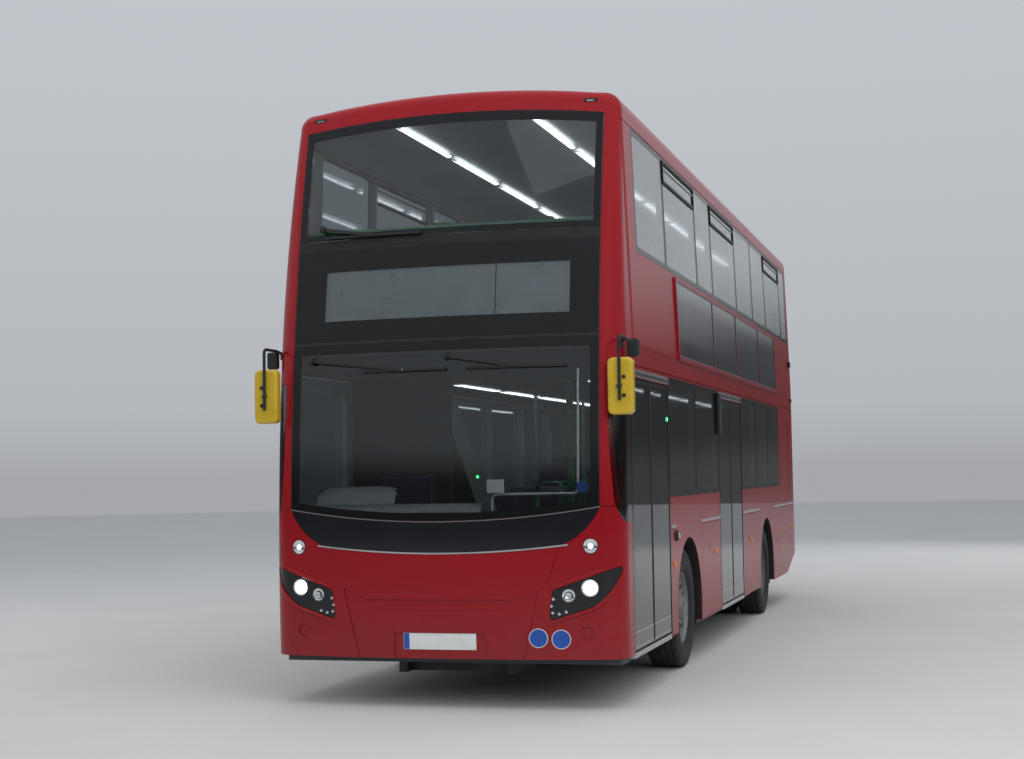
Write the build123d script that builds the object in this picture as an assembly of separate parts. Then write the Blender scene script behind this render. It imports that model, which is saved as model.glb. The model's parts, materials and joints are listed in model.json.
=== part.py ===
from build123d import *
import math
import os

os.makedirs("parts", exist_ok=True)

# Double decker city bus. Millimetres, +Z up, front towards -Y, nearside (door side) towards +X.
# The origin is on the ground under the middle of the body.

# Whole body
length = 10500
width = 2550
height = 4340
skirt_z = 330
bumper_z = 340
tail_z = 560
tail_run = 950
front_y = -length / 2
rear_y = length / 2
half_width = width / 2


def aft(distance):
    """Y of a place that far behind the foremost point of the body."""
    return front_y + distance


# Planes well clear of the body, where cutting shapes end
clear_of_body = 150
far_x = half_width + clear_of_body
far_front_y = front_y - clear_of_body
far_rear_y = rear_y + clear_of_body
far_top_z = height + clear_of_body

# Body cross-section: upright lower deck, sides that lean in above the waist, arched roof
waist_z = 2500
roof_edge_half_width = half_width - 59
roof_edge_z = height - 78
roof_edge_r = 120

# Front: bowed in plan, raked back along one large arc in side view
bow_r = 6744
rake_r = 12700
rake_z = 1000
front_corner_r = 185
dome_r = 105
front_zone_y = aft(1250)

# Rear corners
rear_corner_r = 130
rear_dome_r = 150
rear_zone_y = rear_y - 400
wall_rear_y = rear_y - 150

# Wall, glass and shut lines
wall_t = 55
roof_t = 60
glass_t = 6
glass_inset = 1
rebate_t = glass_inset + glass_t
shut_gap = 6
pane_gap = 8
seal_gap = 3
seat_gap = 0.3
flange = 42

# Decks
floor_z = 350
floor_t = 60
deck_z = 2400
deck_t = 64
rear_floor_z = 600
rear_floor_y = aft(6550)
engine_wall_y = rear_y - 1170
cant_z = height - 262
lower_top_z = deck_z - deck_t
floor_half_width = half_width - wall_t - seat_gap

# Wheels
wheelbase = 5000
front_axle_y = aft(2650)
rear_axle_y = front_axle_y + wheelbase
tyre_r = 478
tyre_w = 275
rim_r = 286
track_x = half_width - 177
twin_pitch = 316
arch_r = 570
housing_t = 14
front_housing_x = 500
rear_housing_x = 600

# Steering
kingpin_x = track_x - 168
kingpin_r = 22
stub_r = 32
running_gap = 0.05

# Doors on the nearside: front edge, rear edge
front_door = (aft(426), aft(1810))
exit_door = (aft(4350), aft(5770))
door_top_z = 2245
leaf_bottom_z = floor_z + 15
leaf_t = 36
leaf_gap = 6
leaf_recess = 3
leaf_frame = 44
leaf_kick = 130
sill_h = 36

# Glazing bands
lower_glass_z = (1390, 2312)
upper_glass_z = (3168, cant_z - 12)
glass_lap = 34
corner_glass_x = half_width - 93
rubber_r = 45

# Front glass outlines, in front view
front_glass_half = half_width - 158
upper_glass_corner_z = height - 228
upper_glass_crown_z = height - 168
upper_glass_sill_z = 3276
blind_glass_top_z = 3212
blind_glass_sill_z = 2532
screen_sill_corner_z = 1362
screen_sill_z = 1272
screen_top_z = blind_glass_sill_z - 4
black_panel_z = 1056
black_panel_shoulder = (840, 1102)
black_panel_turn = (1032, 1228)

ALONG_Y = Plane(origin=(0, 0, 0), x_dir=(1, 0, 0), z_dir=(0, -1, 0))
ALONG_X = Plane(origin=(0, 0, 0), x_dir=(0, 1, 0), z_dir=(1, 0, 0))


def box(x0, x1, y0, y1, z0, z1):
    centre = Pos((x0 + x1) / 2, (y0 + y1) / 2, (z0 + z1) / 2)
    return centre * Box(x1 - x0, y1 - y0, z1 - z0)


def rect(u0, u1, v0, v1, r=0):
    middle = Pos((u0 + u1) / 2, (v0 + v1) / 2)
    if r:
        return middle * RectangleRounded(u1 - u0, v1 - v0, r)
    return middle * Rectangle(u1 - u0, v1 - v0)


def polygon(points):
    return make_face(Polyline(points, close=True))


def rounded_polygon(points, r):
    return make_face(FilletPolyline(points, radius=r, close=True))


def along_x(face, x0, x1):
    return extrude(ALONG_X.offset(x0) * face, amount=x1 - x0)


def along_y(face, y0, y1):
    return extrude(ALONG_Y.offset(-y1) * face, amount=y1 - y0)


def along_z(face, z0, z1):
    return extrude(Pos(0, 0, z0) * face, amount=z1 - z0)


def other_side(shape):
    return mirror(shape, about=Plane.YZ)


def both_sides(shapes):
    return shapes + [other_side(s) for s in shapes]


def solids_of(shape):
    return list(shape.solids())


def rod(points, r, bend):
    path = FilletPolyline(points, radius=bend) if len(points) > 2 else Line(*points)
    start = Plane(origin=path @ 0, z_dir=path % 0)
    return sweep(start * Circle(r), path=path)


def save(name, *shapes):
    solids = [solid for shape in shapes for solid in solids_of(shape)]
    export_step(solids[0] if len(solids) == 1 else Compound(children=solids), f"parts/{name}.step")


# Body forms

def section(inset, base_z=-200):
    """Cross-section of the body, in X and Z, set in from the skin."""
    w, e, z = half_width, roof_edge_half_width, roof_edge_z
    roof = ThreePointArc((e, z), (0, height), (-e, z))
    sides = Polyline((-e, z), (-w, waist_z), (-w, base_z), (w, base_z), (w, waist_z), (e, z))
    face = make_face([roof, sides])
    face = fillet(face.vertices().filter_by(lambda v: v.Y > waist_z + 1), roof_edge_r)
    return offset(face, amount=-inset) if inset else face


def front_plan(inset):
    """Plan of the front of the body: bow, corner radii and sides."""
    w = half_width - inset
    r = bow_r - inset
    centre_y = front_y + bow_r
    side_y = centre_y - math.sqrt(r * r - w * w)
    bow = ThreePointArc((-w, side_y), (0, centre_y - r), (w, side_y))
    sides = Polyline((w, side_y), (w, front_zone_y), (-w, front_zone_y), (-w, side_y))
    face = make_face([bow, sides])
    corners = face.vertices().filter_by(lambda v: v.Y < front_zone_y - 10)
    return fillet(corners, front_corner_r - inset)


def front_sweep(inset):
    """Front plan turned along the rake about a far cross-wise axis."""
    hinge = Axis((0, front_y + rake_r, rake_z), (-1, 0, 0))
    start = (Pos(0, 0, rake_z) * front_plan(inset)).rotate(hinge, -6)
    return revolve(start, axis=hinge, revolution_arc=25)


def front_form(inset):
    """Closed form of the front end: the swept plan inside the body's cross-section."""
    form = front_sweep(inset) & along_y(section(inset), far_front_y, front_zone_y - 200)
    if inset:
        return form
    brow = form.edges().filter_by(
        lambda e: e.center().Z > cant_z and e.center().Y < front_y + 900 and e.length > 60
        and abs(e.tangent_at(0.5).Y) < 0.75
    )
    return fillet(brow, dome_r)


def rear_form(inset):
    """Closed form of the rear end: upright, with rounded corners and a rounded roof edge."""
    w, y = half_width + 20 - inset, rear_y - inset
    plan = rect(-half_width + inset, half_width - inset, rear_zone_y - 600, y, rear_corner_r - inset)
    side = rect(rear_zone_y - 600, y, -400, height + 20 - inset, rear_dome_r - inset)
    form = along_z(plan, -300, far_top_z) & along_x(side, -w, w)
    return form & along_y(section(inset), rear_zone_y, far_rear_y)


front_outer = front_form(0)
front_rebate = front_form(rebate_t)
front_inner = front_form(wall_t)
front_shell = front_outer - front_inner
front_skin = front_outer - front_rebate
front_pane = front_form(glass_inset) - front_form(rebate_t)


# Front outlines, in X and Z

def upper_pane_outline(grow=0):
    w = front_glass_half + grow
    corner, crown, sill = (upper_glass_corner_z + grow, upper_glass_crown_z + grow, upper_glass_sill_z - grow)
    top = ThreePointArc((-w, corner), (0, crown), (w, corner))
    rest = Polyline((w, corner), (w, sill), (-w, sill), (-w, corner))
    face = make_face([top, rest])
    return fillet(face.vertices(), 40 + grow / 2)


def blind_pane_outline(grow=0):
    w = front_glass_half + grow
    return rect(-w, w, blind_glass_sill_z - grow, blind_glass_top_z + grow, 14)


def screen_outline(grow=0):
    w = front_glass_half + grow
    top = screen_top_z + grow
    corner, sill = screen_sill_corner_z - grow, screen_sill_z - grow
    bottom = ThreePointArc((w, corner), (0, sill), (-w, corner))
    rest = Polyline((-w, corner), (-w, top), (w, top), (w, corner))
    face = make_face([bottom, rest])
    return fillet(face.vertices(), 18)


def black_panel_outline(grow=0):
    w = front_glass_half + grow
    top_corner, top = screen_sill_corner_z - 4 + grow, screen_sill_z - 4 + grow
    sx, sz = black_panel_shoulder
    tx, tz = black_panel_turn
    g = grow
    upper = ThreePointArc((-w, top_corner), (0, top), (w, top_corner))
    right = ThreePointArc((w, top_corner), (tx + g * 0.8, tz - g * 0.6), (sx, sz - g))
    lower = ThreePointArc((sx, sz - g), (0, black_panel_z - g), (-sx, sz - g))
    left = ThreePointArc((-sx, sz - g), (-tx - g * 0.8, tz - g * 0.6), (-w, top_corner))
    return make_face([upper, right, lower, left])


def through_front(outline):
    return along_y(outline, far_front_y, aft(900))


# Front surround: dome and pillars in one moulding, with a flange behind the glass
pillar_rear_y = front_door[0] - shut_gap
dome_rear_y = aft(550)
hoop_steps = ((0, 22), (9, 8), (38, 0))


def hoop_edge(edge_y, way):
    """Body cross-section drawn in towards edge_y, for the rounded groove round the hoop."""
    faces = [ALONG_Y.offset(-(edge_y + way * run)) * section(inset) for run, inset in hoop_steps]
    return loft(faces, ruled=True)


surround_zone = box(-far_x, far_x, far_front_y, dome_rear_y, lower_top_z, far_top_z) + box(
    -far_x, far_x, far_front_y, pillar_rear_y, screen_sill_corner_z + shut_gap / 2, lower_top_z
)
surround = front_shell & surround_zone
groove_y = (dome_rear_y, dome_rear_y - hoop_steps[-1][0])
groove_zone = box(-far_x, far_x, groove_y[1], groove_y[0] + 1, lower_top_z, far_top_z)
surround = surround - (groove_zone - hoop_edge(dome_rear_y, -1))
surround = surround - (front_skin & through_front(rect(
    -front_glass_half - seal_gap, front_glass_half + seal_gap, 1000, upper_glass_corner_z + seal_gap)))
surround = surround - (front_skin & through_front(upper_pane_outline(seal_gap)))
for outline in (upper_pane_outline(-flange), screen_outline(-flange)):
    surround = surround - through_front(outline)
between_panes = rect(
    -front_glass_half + flange, front_glass_half - flange, blind_glass_sill_z - 200, upper_glass_sill_z + 200)
surround = surround - through_front(between_panes)

# Corner glass ahead of the doors and of the driver's window
corner_glass_top_z = 2250
corner_bend = (half_width - 69, 1460)
corner_foot = (half_width + 25, 1215)
corner_outline = make_face([
    ThreePointArc((corner_glass_x, corner_glass_top_z), (half_width - 91, 1800), corner_bend),
    ThreePointArc(corner_bend, (half_width - 43, 1330), corner_foot),
    Polyline(corner_foot, (corner_foot[0], corner_glass_top_z), (corner_glass_x, corner_glass_top_z)),
])
corner_cut = along_y(offset(corner_outline, amount=seal_gap), far_front_y, pillar_rear_y + 1)
corner_zone = box(half_width - 175, far_x, far_front_y, pillar_rear_y - 1.5, 900, corner_glass_top_z + 50)
corner_glass = (front_pane & along_y(corner_outline, far_front_y, pillar_rear_y)) & corner_zone
corner_hole = along_y(offset(corner_outline, amount=-26), far_front_y, pillar_rear_y - 24)
for cut in (corner_cut, other_side(corner_cut)):
    surround = surround - (front_skin & cut)
for cut in (corner_hole, other_side(corner_hole)):
    surround = surround - cut
surround = max(solids_of(surround), key=lambda s: s.volume)
save("front_surround", surround)

front_panes = [
    front_pane & through_front(outline)
    for outline in (upper_pane_outline(), blind_pane_outline(), screen_outline())
]
save("front_glass", *front_panes)
black_panel_t = 12
save("front_black_panel", (front_outer - front_form(black_panel_t)) & through_front(black_panel_outline()))

# Front mask: the red moulding below the screen, with lamp pockets, a bonnet edge and a plate recess
pod_inner_top = (half_width - 482, 800)
pod_tip = (half_width - 35, 958)
pod_tip_under = (half_width - 28, 932)
pod_belly = (half_width - 218, 690)
pod_inner_foot = (half_width - 507, 600)
pod_outline = fillet(make_face([
    Polyline(pod_inner_top, pod_tip, pod_tip_under),
    ThreePointArc(pod_tip_under, (half_width - 95, 802), pod_belly),
    Polyline(pod_belly, pod_inner_foot, pod_inner_top),
]).vertices().filter_by(lambda v: v.X < half_width - 375), 22)
lamp_x, lamp_z, lamp_r = half_width - 222, 1098, 50
pod_depth = 70
pod_room_y, lamp_room_y = aft(370), aft(290)
fog_lamp, fog_r, fog_depth = (half_width - 255, 518), 46, 10
plinth_half, plinth_top_z, plinth_depth = 330, 516, 14
panel_flange = 30

# Below the bonnet edge the middle of the mask stands back, between two shut lines
edge_half, edge_z = 530, 742
edge_end = (700, 812)
shut_foot = (587, bumper_z - 20)
relief_t = 5
facet_half, facet_z, facet_t = 430, 668, 9
seam_w, seam_t = 4, 10
flap_line = ((840, 1090), (764, 862))
lip_w, lip_proud = 26, 5


def seam_2d(start, end):
    """Narrow strip along a line in front view."""
    (x0, z0), (x1, z1) = start, end
    run = math.hypot(x1 - x0, z1 - z0)
    dx, dz = (z1 - z0) / run * seam_w / 2, (x0 - x1) / run * seam_w / 2
    return polygon([(x0 - dx, z0 - dz), (x1 - dx, z1 - dz), (x1 + dx, z1 + dz), (x0 + dx, z0 + dz)])


def sunk(outline, depth):
    """The skin of the mask behind an outline, to a depth."""
    return (front_form(-1) - front_form(depth)) & through_front(outline)


mask_top_z = screen_sill_corner_z - shut_gap / 2
mask = front_shell & box(-far_x, far_x, far_front_y, pillar_rear_y, bumper_z, mask_top_z)
mask = mask - (front_skin & through_front(screen_outline(seal_gap)))
mask = mask - sunk(black_panel_outline(seal_gap), black_panel_t)
mask = mask - through_front(screen_outline(-flange)) - through_front(black_panel_outline(-panel_flange))
pod_cut = along_y(offset(pod_outline, amount=seal_gap), far_front_y, pod_room_y)
round_cut = along_y(Pos(lamp_x, lamp_z) * Circle(lamp_r + seal_gap), far_front_y, lamp_room_y)
fog_dimple = sunk(Pos(*fog_lamp) * Circle(fog_r), fog_depth)
for cut in (corner_cut, pod_cut, round_cut, fog_dimple):
    mask = mask - cut - other_side(cut)
mask = mask - sunk(polygon([
    (-edge_half, edge_z), (edge_half, edge_z), edge_end, shut_foot,
    (-shut_foot[0], shut_foot[1]), (-edge_end[0], edge_end[1]),
]), relief_t)
mask = mask - sunk(polygon([
    (-edge_half, edge_z), (edge_half, edge_z), (facet_half, facet_z), (-facet_half, facet_z)]), facet_t)
mask = mask - sunk(rect(-plinth_half, plinth_half, bumper_z - 40, plinth_top_z), plinth_depth)
shut_seam = sunk(seam_2d(edge_end, shut_foot), seam_t)
mask = mask - shut_seam - other_side(shut_seam) - sunk(seam_2d(*flap_line), seam_t)

# A raised lip runs under and over each lamp pocket and fades out at the corner
lip_x0, lip_x1, lip_x2 = pod_inner_foot[0] - 40, half_width - 134, half_width - 86
lip_below = polygon([
    (lip_x0, 560), (lip_x1, 560), (lip_x1, 722), (lip_x2, 806), (half_width - 175, 806), (lip_x0 + 70, 610)])
lip_above = polygon([
    (lip_x0, 815), (lip_x0 + 152, 825), (lip_x2, 930), (lip_x2, 946), (half_width - 215, 926), (lip_x0, 926)])
lip_zone = lip_below + lip_above
lip_2d = (offset(pod_outline, amount=seal_gap + lip_w) - offset(pod_outline, amount=seal_gap + 2)) & lip_zone
lip = (front_sweep(-lip_proud) - front_form(2)) & along_y(lip_2d, far_front_y, lamp_room_y)
mask = mask + lip + other_side(lip)
save("front_mask", max(solids_of(mask), key=lambda s: s.volume))

# Lamps in the mask, each with a flange behind it
lamp_seat = wall_t + seat_gap
seat_lap = 14


def mask_lamp(outline, proud, depth):
    body = (front_form(proud) - front_form(depth)) & along_y(outline, far_front_y, pod_room_y)
    seat = (front_form(lamp_seat) - front_form(depth)) & along_y(
        offset(outline, amount=seat_lap), far_front_y, pod_room_y)
    return body + seat


pod = mask_lamp(pod_outline, 4, pod_depth)
round_lamp = mask_lamp(Pos(lamp_x, lamp_z) * Circle(lamp_r), 0.5, pod_depth)
save("front_lamps", *both_sides([pod, round_lamp]))

# Bulkhead behind the front glass: rail between the panes, shelf, wall and header
rail = (front_form(2) - front_form(wall_t)) & through_front(
    rect(-front_glass_half, front_glass_half, blind_glass_top_z + seal_gap, upper_glass_sill_z - seal_gap))
bulk_wall_y, bulk_t = aft(480), 25
bulk_half = half_width - 125
shelf_z = (3218, 3258)
blind_z = (2690, 3045)
blind_x = (-880, 915)
shelf = front_inner & box(-bulk_half, bulk_half, far_front_y, bulk_wall_y + bulk_t, *shelf_z)
wall = front_inner & box(-bulk_half, bulk_half, bulk_wall_y, bulk_wall_y + bulk_t, lower_top_z, shelf_z[1])
header = (front_form(rebate_t + 1) - front_form(wall_t + 40)) & through_front(
    rect(-front_glass_half + flange + 1, front_glass_half - flange - 1, 2440, 2560))
brace = front_inner & box(-bulk_half, bulk_half, far_front_y, bulk_wall_y + bulk_t, 2470, 2500)
save("front_bulkhead", (rail - surround) + shelf + wall + header + brace)

# Blind box with two blank faces behind the middle pane
blind_rim = 30
blind_box = front_form(75) & box(
    *blind_x, far_front_y, bulk_wall_y - seat_gap, blind_z[0] - blind_rim, blind_z[1] + blind_rim)
save("destination_box", blind_box)


# Side walls
side_cut_x = half_width - 275


def wall_2d(t0, t1, z0, z1):
    ring = section(t0) - section(t1)
    return ring & rect(half_width - 475, far_x, z0, z1)


def window_cut(y0, y1, z0, z1):
    return along_x(rect(y0, y1, z0, z1, rubber_r), side_cut_x, far_x)


def pane_row(joints, z0, z1):
    profile = wall_2d(glass_inset, rebate_t, z0, z1)
    return [
        along_y(profile, a + pane_gap / 2, b - pane_gap / 2)
        for a, b in zip(joints, joints[1:])
    ]


def glazed(wall, joints, z0, z1):
    """Cuts a rebate for bonded panes and one opening behind each pane."""
    wall = wall - along_y(wall_2d(-1, rebate_t, z0 - seal_gap, z1 + seal_gap), joints[0], joints[-1])
    for a, b in zip(joints, joints[1:]):
        wall = wall - window_cut(a + glass_lap, b - glass_lap, z0 + glass_lap, z1 - glass_lap)
    return wall


def arch_cut(y):
    opening = Pos(y, tyre_r) * Circle(arch_r) + rect(y - arch_r, y + arch_r, 0, tyre_r)
    return along_x(opening, side_cut_x, far_x)


tail_cut = along_x(polygon([
    (rear_y - tail_run, skirt_z), (rear_y, tail_z), (far_rear_y, tail_z), (far_rear_y, 0),
    (rear_y - tail_run, 0),
]), -far_x, far_x)

lower_wall_front_y = front_door[0]
lower_blank = along_y(wall_2d(0, wall_t, skirt_z, lower_top_z - shut_gap), lower_wall_front_y, wall_rear_y)
for axle_y in (front_axle_y, rear_axle_y):
    lower_blank = lower_blank - arch_cut(axle_y)
lower_blank = lower_blank - tail_cut

near_mid_joints = (front_door[1] + 28, aft(3070), exit_door[0] - 32)
near_rear_joints = (exit_door[1] + 32, aft(6890), aft(7890), aft(8900))
nearside = lower_blank
for y0, y1 in (front_door, exit_door):
    cut_y = far_front_y if y0 == front_door[0] else y0
    nearside = nearside - box(side_cut_x, far_x, cut_y, y1, 0, door_top_z)
for joints in (near_mid_joints, near_rear_joints):
    nearside = glazed(nearside, joints, *lower_glass_z)
save("lower_side_nearside", nearside)

cab_window = (aft(460), aft(1470))
off_joints = (aft(4190), aft(5390), aft(6590), aft(7790), aft(8900))
cab_glass_z = (1230, 2250)
offside = glazed(lower_blank, cab_window, *cab_glass_z)
offside = glazed(offside, off_joints, *lower_glass_z)
save("lower_side_offside", other_side(offside))

upper_joints = [aft(d) for d in (850, 2015, 3498, 4358, 5888, 7100, 8200, 9680)] + [wall_rear_y - 60]
upper_front_y = dome_rear_y + shut_gap
hoop_front = hoop_edge(upper_front_y, 1)
hoop_rear_y = upper_front_y + hoop_steps[-1][0]
hoop_zone = box(-far_x, far_x, upper_front_y - 1, hoop_rear_y, lower_top_z - 50, far_top_z)
upper_blank = along_y(wall_2d(0, wall_t, lower_top_z, cant_z - shut_gap), upper_front_y, wall_rear_y)
upper_blank = upper_blank - (hoop_zone - hoop_front)
upper_wall = glazed(upper_blank, upper_joints, *upper_glass_z)
save("upper_side_nearside", upper_wall)
save("upper_side_offside", other_side(upper_wall))

near_lower_glass = [corner_glass] + pane_row(near_mid_joints, *lower_glass_z) + pane_row(
    near_rear_joints, *lower_glass_z)
off_lower_glass = [corner_glass] + pane_row(cab_window, *cab_glass_z) + pane_row(off_joints, *lower_glass_z)
save("side_glass_lower", *near_lower_glass, *[other_side(s) for s in off_lower_glass])
save("side_glass_upper", *both_sides(pane_row(upper_joints, *upper_glass_z)))

roof_face = (section(0) - section(roof_t)) & rect(-far_x, far_x, cant_z, far_top_z)
lip_zone = rect(-far_x, far_x, cant_z - 36, cant_z + 20) - rect(-1000, 1000, cant_z - 50, cant_z + 50)
roof_lip = (section(wall_t + seat_gap) - section(wall_t + 12)) & lip_zone
roof = along_y(roof_face, upper_front_y, wall_rear_y) + along_y(roof_lip, upper_front_y, wall_rear_y)
save("roof", roof - (hoop_zone - hoop_front))

# Advert frames on the upper sides: one border with three bars, over plain boards
advert_y = (aft(2310), aft(8750))
advert_z = (2470, 3148)
advert_bars = (aft(4160), aft(5620), aft(7310))
advert_bar_w = 28
advert_border = 34
advert_t, board_t = 16, 4
frame_2d = rect(*advert_y, *advert_z, 30) - rect(
    advert_y[0] + advert_border, advert_y[1] - advert_border,
    advert_z[0] + advert_border, advert_z[1] - advert_border, 12)
for y in advert_bars:
    frame_2d = frame_2d + rect(y - advert_bar_w / 2, y + advert_bar_w / 2, advert_z[0] + 10, advert_z[1] - 10)
advert_zone_z = (advert_z[0] - 70, advert_z[1] + 12)
outer_band = along_y(wall_2d(-advert_t, 0, *advert_zone_z), *advert_y)
board_band = along_y(wall_2d(-board_t, 0, *advert_zone_z), *advert_y)
waist_line = Axis((half_width, 0, waist_z), (0, 1, 0))
wall_lean = math.degrees(math.atan2(half_width - roof_edge_half_width, roof_edge_z - waist_z))


def square_to_wall(face):
    """A side-view outline carried straight out from the leaning upper wall."""
    return along_x(face, side_cut_x, far_x).rotate(waist_line, -wall_lean)


advert = outer_band & square_to_wall(frame_2d)
advert = advert + (board_band & square_to_wall(rect(*advert_y, *advert_z, 30)))
save("advert_frames", *both_sides([advert]))

# Rear end
rear_shell = rear_form(0) - rear_form(wall_t)
rear_skin = rear_form(0) - rear_form(rebate_t)
rear_pane_band = rear_form(glass_inset) - rear_form(rebate_t)
cover_half = 900
cover_z = (640, 1760)
bead_r = 6
rear_glass_half = half_width - 255
rear_glass_z = (3190, height - 300)
tail_lamp_x, tail_lamp_w = half_width - 190, 150
tail_lamp_z = (760, 1640)


def through_rear(outline):
    return along_y(outline, rear_y - 250, far_rear_y)


rear_panel = rear_shell & box(-far_x, far_x, wall_rear_y + shut_gap, far_rear_y, skirt_z, far_top_z)
rear_panel = rear_panel - tail_cut
rear_panel = rear_panel - through_rear(rect(
    -cover_half - 8, cover_half + 8, cover_z[0] - 8, cover_z[1] + bead_r + seat_gap, 8))
rear_glass_x = (-rear_glass_half, rear_glass_half)
tail_lamp_edges = (tail_lamp_x - tail_lamp_w / 2, tail_lamp_x + tail_lamp_w / 2)


def grown(x_range, z_range, by, r):
    """Rounded rectangle grown by a distance on each side."""
    return rect(x_range[0] - by, x_range[1] + by, z_range[0] - by, z_range[1] + by, r)


rear_panel = rear_panel - (rear_skin & through_rear(grown(rear_glass_x, rear_glass_z, seal_gap, 60)))
rear_panel = rear_panel - through_rear(grown(rear_glass_x, rear_glass_z, -flange, 50))
lamp_recess = (rear_form(-1) - rear_form(20)) & through_rear(grown(tail_lamp_edges, tail_lamp_z, 2, 32))
rear_panel = rear_panel - lamp_recess - other_side(lamp_recess)
save("rear_panel", max(solids_of(rear_panel), key=lambda s: s.volume))
save("rear_glass", rear_pane_band & through_rear(rect(-rear_glass_half, rear_glass_half, *rear_glass_z, 57)))

tail_lamp = (rear_form(-4) - rear_form(20)) & through_rear(rect(
    tail_lamp_x - tail_lamp_w / 2, tail_lamp_x + tail_lamp_w / 2, *tail_lamp_z, 30))
save("rear_lamps", *both_sides([tail_lamp]))

# Engine cover, hinged on a bead along its top edge
cover_t = 40
cover = along_y(rect(-cover_half, cover_half, *cover_z, 24), rear_y - cover_t, rear_y)
slot_half, slot_start, slot_pitch, slot_h, slot_count = 620, 170, 62, 26, 9
for i in range(slot_count):
    z = cover_z[0] + slot_start + i * slot_pitch
    cover = cover - along_y(rect(-slot_half, slot_half, z, z + slot_h, 12), rear_y - cover_t - 1, rear_y + 1)
cover_hinge = (rear_y - bead_r, cover_z[1])
bead = Pos(0, *cover_hinge) * Rot(0, 90, 0) * Cylinder(bead_r, 2 * cover_half - 60)
save("engine_cover", cover + bead)

# Decks
rail_x = 400
rail_w, rail_h = 60, 90
rail_top = floor_z - floor_t - seat_gap
rear_frame_z = (420, 510)
riser_t = 120
kick_up = (rear_floor_y - 110, rear_floor_y - 42)
wheel_well = arch_r + housing_t + seat_gap
lower_floor = box(-floor_half_width, floor_half_width, aft(250), rear_floor_y, floor_z - floor_t, floor_z)
aft_of_front = box(-far_x, far_x, aft(750), far_rear_y, 0, 1000)
lower_floor = lower_floor & (front_form(wall_t + seat_gap) + aft_of_front)


def across(y0, y1, z0, z1):
    """Block over the whole inner width."""
    return box(-floor_half_width, floor_half_width, y0, y1, z0, z1)


lower_floor = lower_floor + across(rear_floor_y - 40, engine_wall_y, rear_floor_z - floor_t, rear_floor_z)
lower_floor = lower_floor + across(rear_floor_y - riser_t, rear_floor_y, floor_z - floor_t, rear_floor_z)
lower_floor = lower_floor + across(
    engine_wall_y - 40, engine_wall_y, rear_floor_z - floor_t, lower_top_z - seat_gap)
for axle_y, inner_x in ((front_axle_y, front_housing_x), (rear_axle_y, rear_housing_x)):
    well = box(inner_x - housing_t - seat_gap, far_x, axle_y - wheel_well, axle_y + wheel_well, 200, 900)
    lower_floor = lower_floor - well - other_side(well)
for side in (-1, 1):
    x = side * rail_x
    lower_floor = lower_floor - box(
        x - rail_w / 2 - 1, x + rail_w / 2 + 1, kick_up[0] - 1, rear_floor_y + 1, 200, rear_frame_z[1] + 1)
save("lower_floor", lower_floor)

stair_x = (70 - half_width, -560)
stair_y = (aft(2000), aft(4050))
stair_steps = 9
upper_floor = across(bulk_wall_y + bulk_t + seat_gap, far_rear_y, lower_top_z, deck_z)
fore_of_rear = box(-far_x, far_x, aft(250), rear_zone_y + 50, 2000, 3000)
upper_floor = upper_floor & (rear_form(wall_t + seat_gap) + fore_of_rear)
upper_floor = upper_floor - box(stair_x[0] - 40, stair_x[1] + 14, stair_y[0], stair_y[1] - 250, 2000, 2600)
save("upper_floor", upper_floor)

# Staircase: a folded flight with its side panel, rising forwards over the offside wheel housing
rise = (deck_z - floor_z) / stair_steps
going = (stair_y[1] - stair_y[0]) / (stair_steps - 1)
top_line = []
for i in range(stair_steps - 1):
    y = stair_y[1] - i * going
    z = floor_z + (i + 1) * rise
    top_line += [(y, z - rise), (y, z)]
top_line.append((stair_y[0] + seat_gap, floor_z + (stair_steps - 1) * rise))
step_t = 24
under_line = [(y - step_t, z - step_t) for y, z in reversed(top_line[1:-1])]
under_start = (stair_y[0] + seat_gap, top_line[-1][1] - step_t)
under_line = [under_start] + under_line + [(stair_y[1] - step_t, floor_z)]
stairs = along_x(polygon(top_line + under_line), *stair_x)
stair_side = along_x(polygon([
    (stair_y[1], floor_z), (stair_y[1], floor_z + rise + 60), (stair_y[0], deck_z - deck_t - 2),
    (stair_y[0], deck_z - deck_t - 2 - 340), (stair_y[1] - 330, floor_z),
]), stair_x[1], stair_x[1] + 12)
save("staircase", stairs + stair_side)

# Screen behind the driver and a low panel beside the cab
cab_x, cab_t = -400, 30
cab_rear_y = aft(1590)
cab_wall = box(-floor_half_width, cab_x, cab_rear_y - cab_t, cab_rear_y, floor_z, lower_top_z - seat_gap)
cab_side = box(cab_x - cab_t, cab_x, aft(650), cab_rear_y, floor_z, 1350)
save("cab_wall", cab_wall + cab_side)

# Wheel housings: half-round boxes over each wheel, open below and outboard
housings = []


def arch_2d(axle_y, r):
    """Half round over straight sides, in side view."""
    half_round = Pos(axle_y, tyre_r) * Circle(r) & rect(axle_y - r - 100, axle_y + r + 100, tyre_r, 2000)
    return half_round + rect(axle_y - r, axle_y + r, floor_z - floor_t, tyre_r)


for axle_y, inner_x in ((front_axle_y, front_housing_x), (rear_axle_y, rear_housing_x)):
    outer = along_x(arch_2d(axle_y, arch_r + housing_t), inner_x - housing_t, floor_half_width)
    inner = along_x(arch_2d(axle_y, arch_r), inner_x, far_x)
    inner = inner + box(inner_x, far_x, axle_y - arch_r, axle_y + arch_r, 0, tyre_r)
    axle_slot = box(inner_x - 50, inner_x + 50, axle_y - 90, axle_y + 90, 0, tyre_r + 90)
    housings.append(outer - inner - axle_slot)
save("wheel_housings", *both_sides(housings))

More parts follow.
